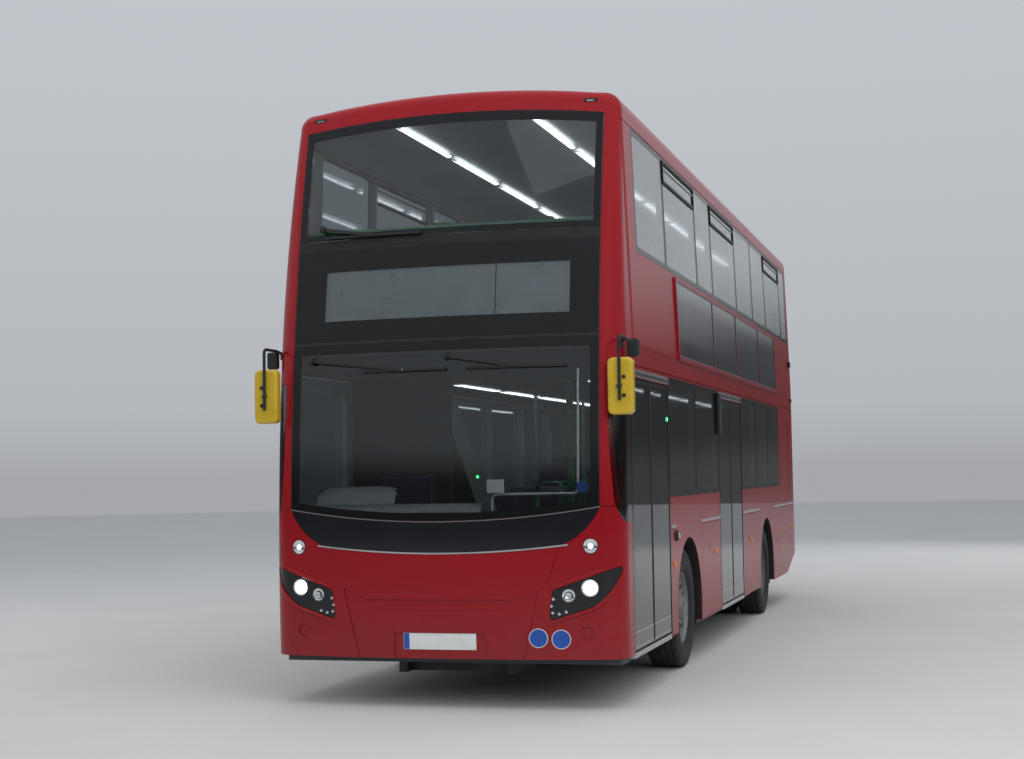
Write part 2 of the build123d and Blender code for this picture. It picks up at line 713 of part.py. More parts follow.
# Chassis rails and cross members under the low floor, stepping up behind it
rails = []
for x in (-rail_x, rail_x):
    x0, x1 = x - rail_w / 2, x + rail_w / 2
    low = box(x0, x1, aft(400), kick_up[1], rail_top - rail_h, rail_top)
    step = box(x0, x1, *kick_up, rail_top - rail_h, rear_frame_z[1])
    high = box(x0, x1, kick_up[0], rear_y - 350, *rear_frame_z)
    rails.append(low + step + high)
save("chassis_rails", *rails)
cross_x = rail_x - rail_w / 2
cross_half_y = 30
cross_members = [
    box(-cross_x, cross_x, y - cross_half_y, y + cross_half_y, rail_top - rail_h, rail_top)
    for y in [aft(d) for d in (550, 1350, 2000, 3300, 4350, 5350, 6300)]
] + [
    box(-cross_x, cross_x, y - cross_half_y, y + cross_half_y, *rear_frame_z)
    for y in (rear_floor_y + 30, rear_axle_y + 900, rear_y - 380)
]
tow_z, tow_y, tow_r, tow_t = 460, rear_y - 140, 21, 40
tongue = along_z(rect(-70, 70, rear_y - 370, tow_y + 62, 40), tow_z - tow_t / 2, tow_z + tow_t / 2)
tongue = tongue - Pos(0, tow_y, tow_z) * Cylinder(tow_r, tow_t + 2)
cross_members[-1] = cross_members[-1] + tongue
save("chassis_cross_members", *cross_members)

# Engine: one plain block on the rear rails
save("engine_block", box(-430, 430, engine_wall_y + 70, rear_y - 210, rear_frame_z[1] + seat_gap, 1320))

# Front axle: dropped beam with a kingpin eye at each end
eye_z = tyre_r - 40
eye_r, eye_h = 48, 110
beam_y = (front_axle_y - 40, front_axle_y + 40)
arm_z = (eye_z - 45, eye_z + 45)
drop_z = (125, 190)
drop_x = (640, 720)
front_beam = box(-drop_x[1], drop_x[1], *beam_y, *drop_z)
for side in (-1, 1):
    inner, outer = sorted((side * drop_x[0], side * drop_x[1]))
    front_beam = front_beam + box(inner, outer, *beam_y, drop_z[0], arm_z[1])
    inner, outer = sorted((side * drop_x[0], side * kingpin_x))
    front_beam = front_beam + box(inner, outer, *beam_y, *arm_z)
    front_beam = front_beam + Pos(side * kingpin_x, front_axle_y, eye_z) * Cylinder(eye_r, eye_h)
for side in (-1, 1):
    front_beam = front_beam - Pos(side * kingpin_x, front_axle_y, eye_z) * Cylinder(
        kingpin_r + running_gap, eye_h + 2)

# Rear axle: dropped tube and gear casing between two tall end casings, a stub at each end
twin_x = track_x - twin_pitch / 2
rear_stub_r = 45
tube_r, tube_z = 70, 300
casing_r, casing_x = 118, -150
end_x = (545, 625)
end_half_y, end_top_z = 72, 536
rear_axle = Pos(0, rear_axle_y, tube_z) * Rot(0, 90, 0) * Cylinder(tube_r, 2 * end_x[0] + 20)
rear_axle = rear_axle + Pos(casing_x, rear_axle_y, tube_z) * Rot(0, 90, 0) * Cylinder(casing_r, 190)
end_plate = along_x(rect(
    rear_axle_y - end_half_y, rear_axle_y + end_half_y, tube_z - 80, end_top_z, 60), *end_x)
stub_len = twin_x + 115 - end_x[1] + 10
stub = Rot(0, 90, 0) * Cylinder(rear_stub_r, stub_len)
stub = Pos(end_x[1] - 10 + stub_len / 2, rear_axle_y, tyre_r) * stub
rear_axle = rear_axle + end_plate + other_side(end_plate) + stub + other_side(stub)
pad_half_x, pad_half_y = 28, 75
for x in (-rail_x, rail_x):
    pad_x = (x - pad_half_x, x + pad_half_x)
    front_beam = front_beam + box(
        *pad_x, front_axle_y - pad_half_y, front_axle_y + pad_half_y, drop_z[1] - 20, rail_top - rail_h)
    rear_axle = rear_axle + box(
        *pad_x, rear_axle_y - pad_half_y, rear_axle_y + pad_half_y, tube_z, rear_frame_z[0])
save("axles", front_beam, rear_axle)

# Steering knuckles: two ears and a kingpin round the eye, a web and a stub for the hub
ear_t = 30
ear_gap = 1
stub_reach = track_x + 60
web_x, web_half = 74, 42
knuckle = Cylinder(kingpin_r, eye_h + 2 * (ear_t + ear_gap))
for end in (-1, 1):
    knuckle = knuckle + Pos(0, 0, end * (eye_h / 2 + ear_gap + ear_t / 2)) * Cylinder(eye_r, ear_t)
    ear_z = end * (eye_h / 2 + ear_gap + ear_t / 2)
    knuckle = knuckle + box(0, web_x, -web_half, web_half, ear_z - ear_t / 2, ear_z + ear_t / 2)
knuckle = knuckle + box(eye_r + 6, web_x, -web_half, web_half, -eye_h / 2 - 5, eye_h / 2 + 5)
knuckle = Pos(kingpin_x, front_axle_y, eye_z) * knuckle
stub_len = stub_reach - kingpin_x - 60
knuckle = knuckle + Pos(kingpin_x + 60 + stub_len / 2, front_axle_y, tyre_r) * Rot(0, 90, 0) * Cylinder(
    stub_r, stub_len)
save("knuckle_nearside", knuckle)
save("knuckle_offside", other_side(knuckle))


# Wheels, turned about X; outboard is +X on the nearside

def turned(points, r=0):
    face = rounded_polygon(points, r) if r else polygon(points)
    return revolve(face, axis=Axis.X)


def tyre_at(x):
    w, bead = tyre_w / 2, rim_r + seat_gap
    return Pos(x, 0, 0) * turned([
        (-w + 34, bead), (-w + 3, bead + 52), (-w, bead + 96), (-w + 14, tyre_r), (w - 14, tyre_r),
        (w, bead + 96), (w - 3, bead + 52), (w - 34, bead),
    ], 12)


def hand_holes(r, pitch_r, count, x0, x1):
    hole = Rot(0, 90, 0) * Cylinder(r, x1 - x0)
    turns = [i * 360 / count for i in range(count)]
    return [Rot(a, 0, 0) * Pos((x0 + x1) / 2, 0, pitch_r) * hole for a in turns]


barrel_t = 9
hole_count = 8
front_rim = turned([
    (-104, rim_r), (104, rim_r), (104, rim_r - barrel_t), (78, rim_r - barrel_t - 14), (66, 178), (66, 142),
    (92, 132), (96, 104), (120, 92), (122, 60), (122, stub_r + running_gap), (-20, stub_r + running_gap),
    (-20, 104), (40, 120), (52, 142), (52, 186), (60, rim_r - barrel_t - 20), (-104, rim_r - barrel_t),
])
for hole in hand_holes(25, 222, hole_count, 20, 120):
    front_rim = front_rim - hole
half_pitch = twin_pitch / 2
rear_rim = turned([
    (-half_pitch - 104, rim_r), (half_pitch + 104, rim_r), (half_pitch + 104, rim_r - barrel_t),
    (half_pitch - 66, rim_r - barrel_t - 14), (14, 186), (14, 150), (70, 134), (120, 122), (124, 96),
    (124, rear_stub_r + running_gap), (-60, rear_stub_r + running_gap), (-60, 150), (-14, 150), (-14, 186),
    (-half_pitch + 66, rim_r - barrel_t - 14), (-half_pitch - 104, rim_r - barrel_t),
])
for hole in hand_holes(25, 226, hole_count, -80, 80):
    rear_rim = rear_rim - hole

front_spot = Pos(track_x, front_axle_y, tyre_r)
rear_spot = Pos(twin_x, rear_axle_y, tyre_r)
wheel_sets = (
    ("front", front_spot, [tyre_at(0)], front_rim),
    ("rear", rear_spot, [tyre_at(-half_pitch), tyre_at(half_pitch)], rear_rim),
)
for end, spot, tyres, rim in wheel_sets:
    save(f"tyre_{end}_nearside", *[spot * t for t in tyres])
    save(f"rim_{end}_nearside", spot * rim)
    save(f"tyre_{end}_offside", *[other_side(spot * t) for t in tyres])
    save(f"rim_{end}_offside", other_side(spot * rim))


# Door leaves: each turns inwards about a round nose beside its jamb

leaf_x1 = half_width - leaf_recess
leaf_x0 = leaf_x1 - leaf_t
leaf_axis_x = (leaf_x0 + leaf_x1) / 2
leaf_top_z = door_top_z - 7
lead_gap = 4
pivot_r = 10
leaf_rebate = 12


def door_leaf(jamb_y, centre_y):
    """Frame and pane of one leaf, from the jamb to the seam in the middle."""
    way = 1 if centre_y > jamb_y else -1
    axis_y = jamb_y + way * (leaf_gap + leaf_t / 2)
    lead_y = centre_y - way * lead_gap
    y0, y1 = sorted((axis_y, lead_y))
    plan = rect(leaf_x0, leaf_x1, y0, y1) + Pos(leaf_axis_x, axis_y) * Circle(leaf_t / 2)
    frame = along_z(plan, leaf_bottom_z, leaf_top_z)
    frame = frame + along_z(
        Pos(leaf_axis_x, axis_y) * Circle(pivot_r), floor_z + seat_gap, door_top_z - seat_gap)
    a, b = (axis_y + 26, lead_y - leaf_frame) if way > 0 else (lead_y + leaf_frame, axis_y - 26)
    z0, z1 = leaf_bottom_z + leaf_kick, leaf_top_z - leaf_frame
    frame = frame - along_x(rect(a, b, z0, z1, 20), leaf_x0 - 1, leaf_x1 + 1)
    rebate = rect(a - leaf_rebate, b + leaf_rebate, z0 - leaf_rebate, z1 + leaf_rebate, 26)
    frame = frame - along_x(rebate, leaf_x1 - glass_t, leaf_x1 + 1)
    pane = rect(a - leaf_rebate + 1, b + leaf_rebate - 1, z0 - leaf_rebate + 1, z1 + leaf_rebate - 1, 25)
    return frame, along_x(pane, leaf_x1 - glass_t, leaf_x1)


for door, (y0, y1) in (("front_door", front_door), ("exit_door", exit_door)):
    middle = (y0 + y1) / 2
    for end, jamb in (("fore", y0), ("aft", y1)):
        leaf, pane = door_leaf(jamb, middle)
        save(f"{door}_{end}", leaf)
        save(f"{door}_{end}_glass", pane)

# Door headers: drip rail outside, mechanism box inside, bright sill under the leaves
headers = []
for y0, y1 in (front_door, exit_door):
    rail_z = (door_top_z + 9, door_top_z + 61)
    headers.append(box(half_width + seat_gap, half_width + 9, y0 + 20, y1 + 10, *rail_z))
    box_z = (door_top_z + 4, lower_top_z - seat_gap)
    headers.append(box(half_width - 195, floor_half_width, y0 + 40, y1 - 20, *box_z))
    sill_x = (floor_half_width + seat_gap, half_width - 2)
    headers.append(box(*sill_x, y0 + 4, y1 - 4, floor_z - sill_h, floor_z))
save("door_headers", *headers)

# Mirrors: a shell on a hooked arm with a ball at its face, and a kerb mirror above it
shell_x, shell_y, shell_z = (half_width - 78, half_width + 97), (aft(45), aft(113)), (1972, 2356)
arm_x, arm_y, arm_r = half_width + 9, aft(28), 11
arm_top_z, arm_end_z, elbow_y = 2500, 2066, aft(240)
bracket = (half_width - 47, aft(315), 2462)
shell = along_y(rect(*shell_x, *shell_z, 38), *shell_y)
shell = fillet(shell.edges().filter_by(lambda e: abs(e.center().Y - shell_y[0]) < 1), 20)
elbow = (arm_x, elbow_y, arm_top_z)
arm = rod([bracket, elbow, (arm_x, arm_y, arm_top_z), (arm_x, arm_y, arm_end_z)], arm_r, 34)
ball_r = 19.5
ball = Pos(arm_x, shell_y[0] - ball_r - seat_gap, (shell_z[0] + shell_z[1]) / 2) * Sphere(ball_r)
foot = box(half_width - 145, half_width - 13, aft(260), aft(355), 2436, 2490)
kerb = fillet(box(half_width + 15, half_width + 97, aft(260), aft(320), 2372, 2496).edges(), 18)
kerb_arm = rod([(arm_x, elbow_y, arm_top_z - 4), (half_width + 55, aft(275), 2440)], 8, 1)
near_arm = max(solids_of((arm + ball + foot) - front_outer), key=lambda s: s.volume) + kerb + kerb_arm
save("mirror_arms", near_arm, other_side(near_arm))
save("mirror_shells", shell, other_side(shell))

# Wipers: a boss, an arm and a blade each, lying on the glass
wiper_lift = (16, 34)
blade_lift = (3, 26)


def front_band(lift0, lift1, outline):
    """A plate that follows the front glass between two heights above it."""
    return (front_sweep(-lift1) - front_sweep(-lift0)) & along_y(outline, far_front_y, dome_rear_y)


def wiper(pivot, knee, blade_z, blade_x):
    arm_line = polygon([
        (pivot[0] - 8, pivot[1] - 12), (pivot[0] + 8, pivot[1] + 12),
        (knee[0] + 5, knee[1] + 9), (knee[0] - 5, knee[1] - 9),
    ])
    blade = front_band(*blade_lift, rect(*blade_x, blade_z - 9, blade_z + 9))
    arm = front_band(*wiper_lift, arm_line)
    boss = front_band(seat_gap - glass_inset, wiper_lift[1] + 6, Pos(*pivot) * Circle(26))
    return arm + blade + boss


wipers = [
    wiper((-964, 2410), (-250, 2322), 2320, (-560, 60)),
    wiper((56, 2412), (560, 2324), 2322, (200, 900)),
    wiper((-919, 3362), (-520, 3300), 3298, (-900, -156)),
]
save("wipers", *wipers)

# Cab: dashboard under the screen, steering wheel, seat
dash_x, dash_rear_y = (95 - half_width, 470), aft(450)
binnacle_x = (-1020, -420)
dash = front_form(pod_depth + 6) & box(*dash_x, far_front_y, dash_rear_y, 990, 1330)
dash = dash + box(-1000, -420, aft(390), aft(590), 1020, 1300)
dash = dash + along_x(polygon([
    (aft(265), 1320), (dash_rear_y, 1320), (dash_rear_y + 40, 1470), (aft(400), 1490)]), *binnacle_x)
dash = dash + box(-760, -640, aft(510), aft(560), 500, 1040)
dash = dash + box(*dash_x, aft(350), aft(400), floor_z, 1000)
wheel_tilt = 28
steer_centre = (-700, aft(750), 1270)
steering = Pos(*steer_centre) * Rot(-wheel_tilt, 0, 0)
column_len, shroud_len = 150, 240
column_z = -25 - column_len / 2
shroud_z = column_z - column_len / 2 - seat_gap - shroud_len / 2
shroud = steering * Pos(0, 0, shroud_z) * Cylinder(46, shroud_len)
save("dashboard", dash + shroud)

ring = Torus(222, 15)
spokes = box(-212, 212, -13, 13, -10, 2) + box(-13, 13, -212, 0, -10, 2)
hub = Pos(0, 0, -14) * Cylinder(52, 36)
column = Pos(0, 0, column_z) * Cylinder(24, column_len)
save("steering_wheel", steering * (ring + spokes + hub + column))


# Seats: two places side by side, each a cushion and back in one bent form, on a shared pedestal
seat_half = 430


def seat_pair(x, y, base_z, pedestal=True, half=seat_half):
    z = base_z + 400
    profile = rounded_polygon([
        (y - 230, z), (y - 240, z + 70), (y + 120, z + 62),
        (y + 190, z + 700), (y + 262, z + 690), (y + 200, z),
    ], 24)
    seat = along_x(profile, x - half, x + half)
    if pedestal:
        seat = seat + box(x - half + 120, x + half - 120, y - 140, y + 130, base_z, z + 5)
    return seat


seat_x = half_width - 505
over_axle_z = rear_floor_z + 62.3
lower_rows = (
    ("both", aft(6870), rear_floor_z, True), ("both", aft(7610), over_axle_z, False),
    ("both", aft(8400), rear_floor_z, True), ("both", aft(9020), rear_floor_z, True),
    ("near", aft(6235), floor_z, True), ("off", aft(4590), floor_z, True),
    ("off", aft(5340), floor_z, True), ("off", aft(6090), floor_z, True),
)
lower_seats = []
for side, y, base_z, pedestal in lower_rows:
    if side != "off":
        lower_seats.append(seat_pair(seat_x, y, base_z, pedestal))
    if side != "near":
        lower_seats.append(seat_pair(-seat_x, y, base_z, pedestal))
save("seats_lower", *lower_seats)

upper_pitch, upper_row_count = 738, 13
upper_rows = [aft(1200) + i * upper_pitch for i in range(upper_row_count)]
stair_rows = [y for y in upper_rows if stair_y[0] - 300 < y < stair_y[1]]
upper_seat_x = half_width - 547
upper_seats = [seat_pair(upper_seat_x, y, deck_z) for y in upper_rows]
upper_seats += [seat_pair(-upper_seat_x, y, deck_z) for y in upper_rows if y not in stair_rows]
save("seats_upper", *upper_seats)
driver_x, driver_y, plinth_h = -700, aft(1170), 150
plinth = box(driver_x - 200, driver_x + 200, driver_y - 120, driver_y + 120, floor_z, floor_z + plinth_h + 5)
save("driver_seat", seat_pair(driver_x, driver_y, floor_z + plinth_h, True, 250) + plinth)

# Handrails: floor-to-ceiling poles below, a rail behind the upper front glass
pole_r, grab_r = 16, 15
pole_places = (
    (500, aft(1860)), (430, aft(2035)), (500, aft(4220)), (500, aft(5940)),
    (-430, aft(4240)), (-330, aft(5730)), (-330, aft(6380)),
)
pole_len = lower_top_z - floor_z - 2 * seat_gap
poles = [Pos(x, y, (floor_z + lower_top_z) / 2) * Cylinder(pole_r, pole_len) for x, y in pole_places]
grab_z = 3385
lean = math.radians(wall_lean)
grab_half = half_width - (grab_z + grab_r - waist_z) * math.tan(lean) - wall_t / math.cos(lean) - seat_gap
grab = Pos(0, aft(600), grab_z) * Rot(0, 90, 0) * Cylinder(grab_r, 2 * grab_half)
save("handrails", *poles, grab)
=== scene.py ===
# %% [markdown]
# A double decker city bus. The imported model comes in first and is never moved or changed.
# Everything built below sits on it, in metres: +Z is up, the front looks towards -Y and the
# doors are on the +X side, the nearside.

# %% Load the frame
import bpy
import bmesh
import json
import math
from mathutils import Matrix, Vector


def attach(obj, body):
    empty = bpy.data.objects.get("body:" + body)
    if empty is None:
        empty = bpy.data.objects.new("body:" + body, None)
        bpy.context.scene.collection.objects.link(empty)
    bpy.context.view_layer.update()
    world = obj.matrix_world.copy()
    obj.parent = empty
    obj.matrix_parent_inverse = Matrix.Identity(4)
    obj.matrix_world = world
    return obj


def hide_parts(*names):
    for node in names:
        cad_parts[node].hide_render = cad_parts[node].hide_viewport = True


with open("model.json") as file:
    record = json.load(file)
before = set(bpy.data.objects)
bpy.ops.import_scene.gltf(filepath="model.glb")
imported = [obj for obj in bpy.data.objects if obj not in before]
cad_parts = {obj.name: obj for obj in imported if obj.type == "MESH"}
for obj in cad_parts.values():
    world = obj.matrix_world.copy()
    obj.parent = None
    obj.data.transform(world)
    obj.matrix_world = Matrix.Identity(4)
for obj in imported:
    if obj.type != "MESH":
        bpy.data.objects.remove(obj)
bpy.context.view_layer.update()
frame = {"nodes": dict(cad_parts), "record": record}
nodes = frame["nodes"]
SIDES = ((1, "nearside"), (-1, "offside"))

# %% [markdown]
# The camera comes next, because every later choice is judged through it. Its place was solved
# from the wheels, the doors and the edges of the body. A real camera is tilted a little, so the
# aim is built from three angles: yaw, pitch and roll.

# %% Camera
IMAGE_W, FOCAL_PX, SENSOR_MM = 1024, 1640, 36
CAMERA_AT = Vector((3.588, -15.901, 1.601))
YAW, PITCH, ROLL = (math.radians(a) for a in (15.92, 3.23, -0.96))


def aim_matrix(yaw, pitch, roll):
    ahead = Vector((-math.sin(yaw) * math.cos(pitch), math.cos(yaw) * math.cos(pitch), math.sin(pitch)))
    right = Vector((math.cos(yaw), math.sin(yaw), 0))
    up = right.cross(ahead)
    right_r = right * math.cos(roll) + up * math.sin(roll)
    up_r = up * math.cos(roll) - right * math.sin(roll)
    return Matrix((right_r, up_r, -ahead)).transposed()


camera_data = bpy.data.cameras.new("camera")
camera_data.sensor_width = SENSOR_MM
camera_data.lens = SENSOR_MM * FOCAL_PX / IMAGE_W
camera_data.clip_end = 200
camera = bpy.data.objects.new("camera", camera_data)
camera.matrix_world = Matrix.Translation(CAMERA_AT) @ aim_matrix(YAW, PITCH, ROLL).to_4x4()
bpy.context.collection.objects.link(camera)
bpy.context.scene.camera = camera
bpy.context.scene.view_settings.view_transform = "Standard"
print("lens", round(camera_data.lens, 2), "mm")

# %% [markdown]
# The studio is a pale floor, a dim even world and large soft lamps. An overcast day lights a
# bus from above, so the largest lamp hangs overhead, and the side lamps are weaker. In
# reflections the low part of the sky is dark, as houses and trees make it in the photograph.

# %% Studio
FLOOR_R, FLOOR_STEPS = 60, 64
LAMPS = (
    ("lamp_above", (2, -4, 12), (0, 0, 2), (12, 16), 900),
    ("lamp_front", (9, -15, 6), (0, -4, 2), (8, 6), 600),
    ("lamp_side", (-14, -6, 6), (0, 0, 2), (10, 6), 400),
    ("lamp_rear", (6, 16, 8), (0, 3, 2), (10, 8), 500),
)
SKY_STEPS = ((0.0, (0.38, 0.39, 0.41)), (0.04, (0.46, 0.48, 0.51)), (0.5, (0.62, 0.65, 0.70)))
MIRRORED_STEPS = ((0.0, (0.10, 0.10, 0.105)), (0.020, (0.055, 0.057, 0.06)), (0.080, (0.07, 0.074, 0.08)),
                  (0.130, (0.48, 0.50, 0.53)), (0.5, (0.62, 0.65, 0.70)))


def around(n):
    """Cosine and sine of n equal steps round a circle."""
    return [(math.cos(i * math.tau / n), math.sin(i * math.tau / n)) for i in range(n)]


def add(tree, kind, **inputs):
    """A shader node with some inputs set; an underscore in a name stands for a space."""
    node = tree.nodes.new("ShaderNode" + kind)
    for key, value in inputs.items():
        node.inputs[key.replace("_", " ")].default_value = value
    return node


floor_data = bpy.data.meshes.new("studio_floor")
floor_data.from_pydata([(FLOOR_R * c, FLOOR_R * s, 0) for c, s in around(FLOOR_STEPS)], [],
                       [list(range(FLOOR_STEPS))])
studio_floor = bpy.data.objects.new("studio_floor", floor_data)
bpy.context.collection.objects.link(studio_floor)

for name, place, target, size, watts in LAMPS:
    data = bpy.data.lights.new(name, "AREA")
    data.shape, data.size, data.size_y = "RECTANGLE", *size
    data.energy = watts
    lamp = bpy.data.objects.new(name, data)
    lamp.location = place
    lamp.rotation_euler = (Vector(target) - Vector(place)).to_track_quat("-Z", "Y").to_euler()
    bpy.context.collection.objects.link(lamp)
    lamp.visible_glossy = False

world = bpy.data.worlds.new("studio")
bpy.context.scene.world = world
world.use_nodes = True
wt = world.node_tree
height = add(wt, "SeparateXYZ")
wt.links.new(add(wt, "TexCoord").outputs["Generated"], height.inputs["Vector"])


def sky_ramp(steps):
    """Colour by height above the horizon."""
    ramp = add(wt, "ValToRGB")
    while len(ramp.color_ramp.elements) < len(steps):
        ramp.color_ramp.elements.new(0.5)
    for stop, (level, colour) in zip(ramp.color_ramp.elements, steps):
        stop.position, stop.color = level, (*colour, 1)
    wt.links.new(height.outputs["Z"], ramp.inputs["Fac"])
    return ramp.outputs["Color"]


choice = wt.nodes.new("ShaderNodeMix")
choice.data_type = "RGBA"
wt.links.new(add(wt, "LightPath").outputs["Is Glossy Ray"], choice.inputs["Factor"])
wt.links.new(sky_ramp(SKY_STEPS), choice.inputs["A"])
wt.links.new(sky_ramp(MIRRORED_STEPS), choice.inputs["B"])
wt.links.new(choice.outputs["Result"], wt.nodes["Background"].inputs["Color"])

# %% [markdown]
# Materials. Nothing on a bus is one flat colour: paint has a faint orange peel and road dust
# along the skirt, rubber is patchy, plastic has a grain. One helper holds the common recipe, a
# noise that varies colour and roughness and a finer one that gives the bump, and each finish
# below sets its own scales.

# %% Finish helper
DUST_FOOT, DUST_TOP, DUST_GREY, DUST_SCALE = 0.2, 0.9, (0.10, 0.09, 0.08, 1), 14
RELIEF, COAT_ROUGHNESS = 0.002, 0.04


def combined(tree, operation, a, b):
    node = add(tree, "Math")
    node.operation = operation
    tree.links.new(a, node.inputs[0])
    tree.links.new(b, node.inputs[1])
    return node


def finish(name, colour, roughness, metallic=0.0, patch=2.0, vary=0.12, rough_vary=0.08,
           grain=60.0, bump=0.05, coat=0.0, dust=0.0, gloss=0.5):
    """A procedural finish: patch and grain are noise scales per metre, dust greys the lower body."""
    mat = bpy.data.materials.new(name)
    mat.use_nodes = True
    t = mat.node_tree
    link = t.links.new
    bsdf = t.nodes["Principled BSDF"]
    place = add(t, "TexCoord").outputs["Object"]
    broad = add(t, "TexNoise", Scale=patch, Detail=4)
    link(place, broad.inputs["Vector"])
    ramp = add(t, "ValToRGB")
    low, high = ramp.color_ramp.elements
    low.position, high.position = 0.3, 0.7
    low.color = (*(c * (1 - vary) for c in colour), 1)
    high.color = (*(min(1, c * (1 + vary)) for c in colour), 1)
    link(broad.outputs["Fac"], ramp.inputs["Fac"])
    low_rough, high_rough = max(0.02, roughness - rough_vary), min(1, roughness + rough_vary)
    rough = add(t, "MapRange", To_Min=low_rough, To_Max=high_rough)
    link(broad.outputs["Fac"], rough.inputs["Value"])
    colour_out, rough_out = ramp.outputs["Color"], rough.outputs["Result"]
    if dust:
        split = add(t, "SeparateXYZ")
        link(place, split.inputs["Vector"])
        fall = add(t, "MapRange", From_Min=DUST_FOOT, From_Max=DUST_TOP, To_Min=dust, To_Max=0)
        link(split.outputs["Z"], fall.inputs["Value"])
        speck = add(t, "TexNoise", Scale=DUST_SCALE, Detail=6)
        link(place, speck.inputs["Vector"])
        amount = combined(t, "MULTIPLY", fall.outputs["Result"], speck.outputs["Fac"])
        mix = add(t, "Mix")
        mix.data_type = "RGBA"
        mix.inputs["B"].default_value = DUST_GREY
        link(amount.outputs["Value"], mix.inputs["Factor"])
        link(colour_out, mix.inputs["A"])
        colour_out = mix.outputs["Result"]
        duller = combined(t, "ADD", rough_out, amount.outputs["Value"])
        duller.use_clamp = True
        rough_out = duller.outputs["Value"]
    link(colour_out, bsdf.inputs["Base Color"])
    link(rough_out, bsdf.inputs["Roughness"])
    fine = add(t, "TexNoise", Scale=grain, Detail=3)
    link(place, fine.inputs["Vector"])
    relief = add(t, "Bump", Strength=bump, Distance=RELIEF)
    link(fine.outputs["Fac"], relief.inputs["Height"])
    link(relief.outputs["Normal"], bsdf.inputs["Normal"])
    bsdf.inputs["Metallic"].default_value = metallic
    bsdf.inputs["Specular IOR Level"].default_value = gloss
    bsdf.inputs["Coat Weight"].default_value = coat
    bsdf.inputs["Coat Roughness"].default_value = COAT_ROUGHNESS
    return mat


print("dust fades out at", DUST_TOP, "m")

# %% [markdown]
# The finishes of the bus: paints, plastics, rubbers, metals, lenses and signs.

# %% Finishes of the bus
red_paint = finish("red_paint", (0.245, 0.0045, 0.009), 0.26, patch=0.9, vary=0.06, rough_vary=0.05,
                   grain=45, bump=0.02, coat=0.25, dust=0.30, gloss=0.15)
board_paint = finish("board_paint", (0.22, 0.005, 0.009), 0.34, patch=1.2, vary=0.08, grain=50, bump=0.02,
                     coat=0.3, gloss=0.3)
black_gloss = finish("black_gloss", (0.008, 0.009, 0.011), 0.12, patch=3, vary=0.1, rough_vary=0.04, grain=30,
                     bump=0.01, coat=0.3, gloss=0.35)
frit_black = finish("frit_black", (0.006, 0.007, 0.008), 0.1, patch=3, vary=0.1, rough_vary=0.03, grain=20,
                    bump=0.0, gloss=0.3)
tyre_rubber = finish("tyre_rubber", (0.018, 0.018, 0.019), 0.78, patch=7, vary=0.25, grain=220, bump=0.25)
soft_rubber = finish("soft_rubber", (0.012, 0.012, 0.013), 0.7, patch=9, vary=0.2, grain=160, bump=0.15)
wheel_paint = finish("wheel_paint", (0.17, 0.175, 0.18), 0.42, metallic=0.4, patch=9, vary=0.25,
                     rough_vary=0.12, grain=90, bump=0.08)
nut_steel = finish("nut_steel", (0.34, 0.34, 0.34), 0.35, metallic=1, patch=20, vary=0.3, grain=200,
                   bump=0.08)
dark_steel = finish("dark_steel", (0.03, 0.03, 0.032), 0.55, metallic=0.3, patch=5, vary=0.35, grain=80,
                    bump=0.12)
cast_metal = finish("cast_metal", (0.07, 0.07, 0.072), 0.7, metallic=0.5, patch=8, vary=0.35, grain=140,
                    bump=0.3)
bright_trim = finish("bright_trim", (0.52, 0.53, 0.54), 0.3, metallic=0.9, patch=6, vary=0.12, grain=120,
                     bump=0.04)
grey_trim = finish("grey_trim", (0.16, 0.165, 0.17), 0.4, metallic=0.5, patch=5, vary=0.1, grain=150,
                   bump=0.04)
lining_grey = finish("lining_grey", (0.30, 0.31, 0.31), 0.6, patch=2, vary=0.06, grain=420, bump=0.10)
black_plastic = finish("black_plastic", (0.014, 0.014, 0.015), 0.5, patch=6, vary=0.2, grain=400, bump=0.12)
grey_plastic = finish("grey_plastic", (0.06, 0.075, 0.095), 0.5, patch=4, vary=0.12, grain=380, bump=0.12)
pale_trim = finish("pale_trim", (0.34, 0.35, 0.35), 0.5, patch=3, vary=0.08, grain=300, bump=0.08)
cab_grey = finish("cab_grey", (0.028, 0.032, 0.038), 0.6, patch=4, vary=0.12, grain=380, bump=0.12)
deck_rubber = finish("deck_rubber", (0.05, 0.055, 0.065), 0.6, patch=420, vary=0.5, rough_vary=0.15,
                     grain=600, bump=0.1)
yellow_gloss = finish("yellow_gloss", (0.50, 0.34, 0.02), 0.28, patch=9, vary=0.08, grain=120, bump=0.03,
                      coat=0.4)
green_rail = finish("green_rail", (0.05, 0.30, 0.10), 0.3, patch=8, vary=0.1, grain=300, bump=0.03, coat=0.3)
lamp_black = finish("lamp_black", (0.006, 0.006, 0.007), 0.2, patch=8, vary=0.2, grain=90, bump=0.03)
chrome = finish("chrome", (0.75, 0.76, 0.78), 0.1, metallic=1, patch=15, vary=0.06, rough_vary=0.04, grain=60,
                bump=0.01)
red_lens = finish("red_lens", (0.30, 0.008, 0.01), 0.15, patch=30, vary=0.25, grain=260, bump=0.2, coat=0.5)
amber_lens = finish("amber_lens", (0.75, 0.20, 0.01), 0.2, patch=30, vary=0.2, grain=260, bump=0.2, coat=0.5)
plate_white = finish("plate_white", (0.62, 0.63, 0.62), 0.35, patch=14, vary=0.06, grain=300, bump=0.03)
sign_blue = finish("sign_blue", (0.012, 0.07, 0.34), 0.35, patch=12, vary=0.1, grain=200, bump=0.02)
print("finishes", len(bpy.data.materials))

# %% [markdown]
# Glass is clear plastic or glass with a grey-green tint. It lets light through and mirrors
# more at a grazing angle, which the shader does by itself once transmission is full. A slow
# noise keeps its surface from being perfectly even, as float glass in a bus never is.

# %% Glass and lit surfaces
GLASS_IOR = 1.48


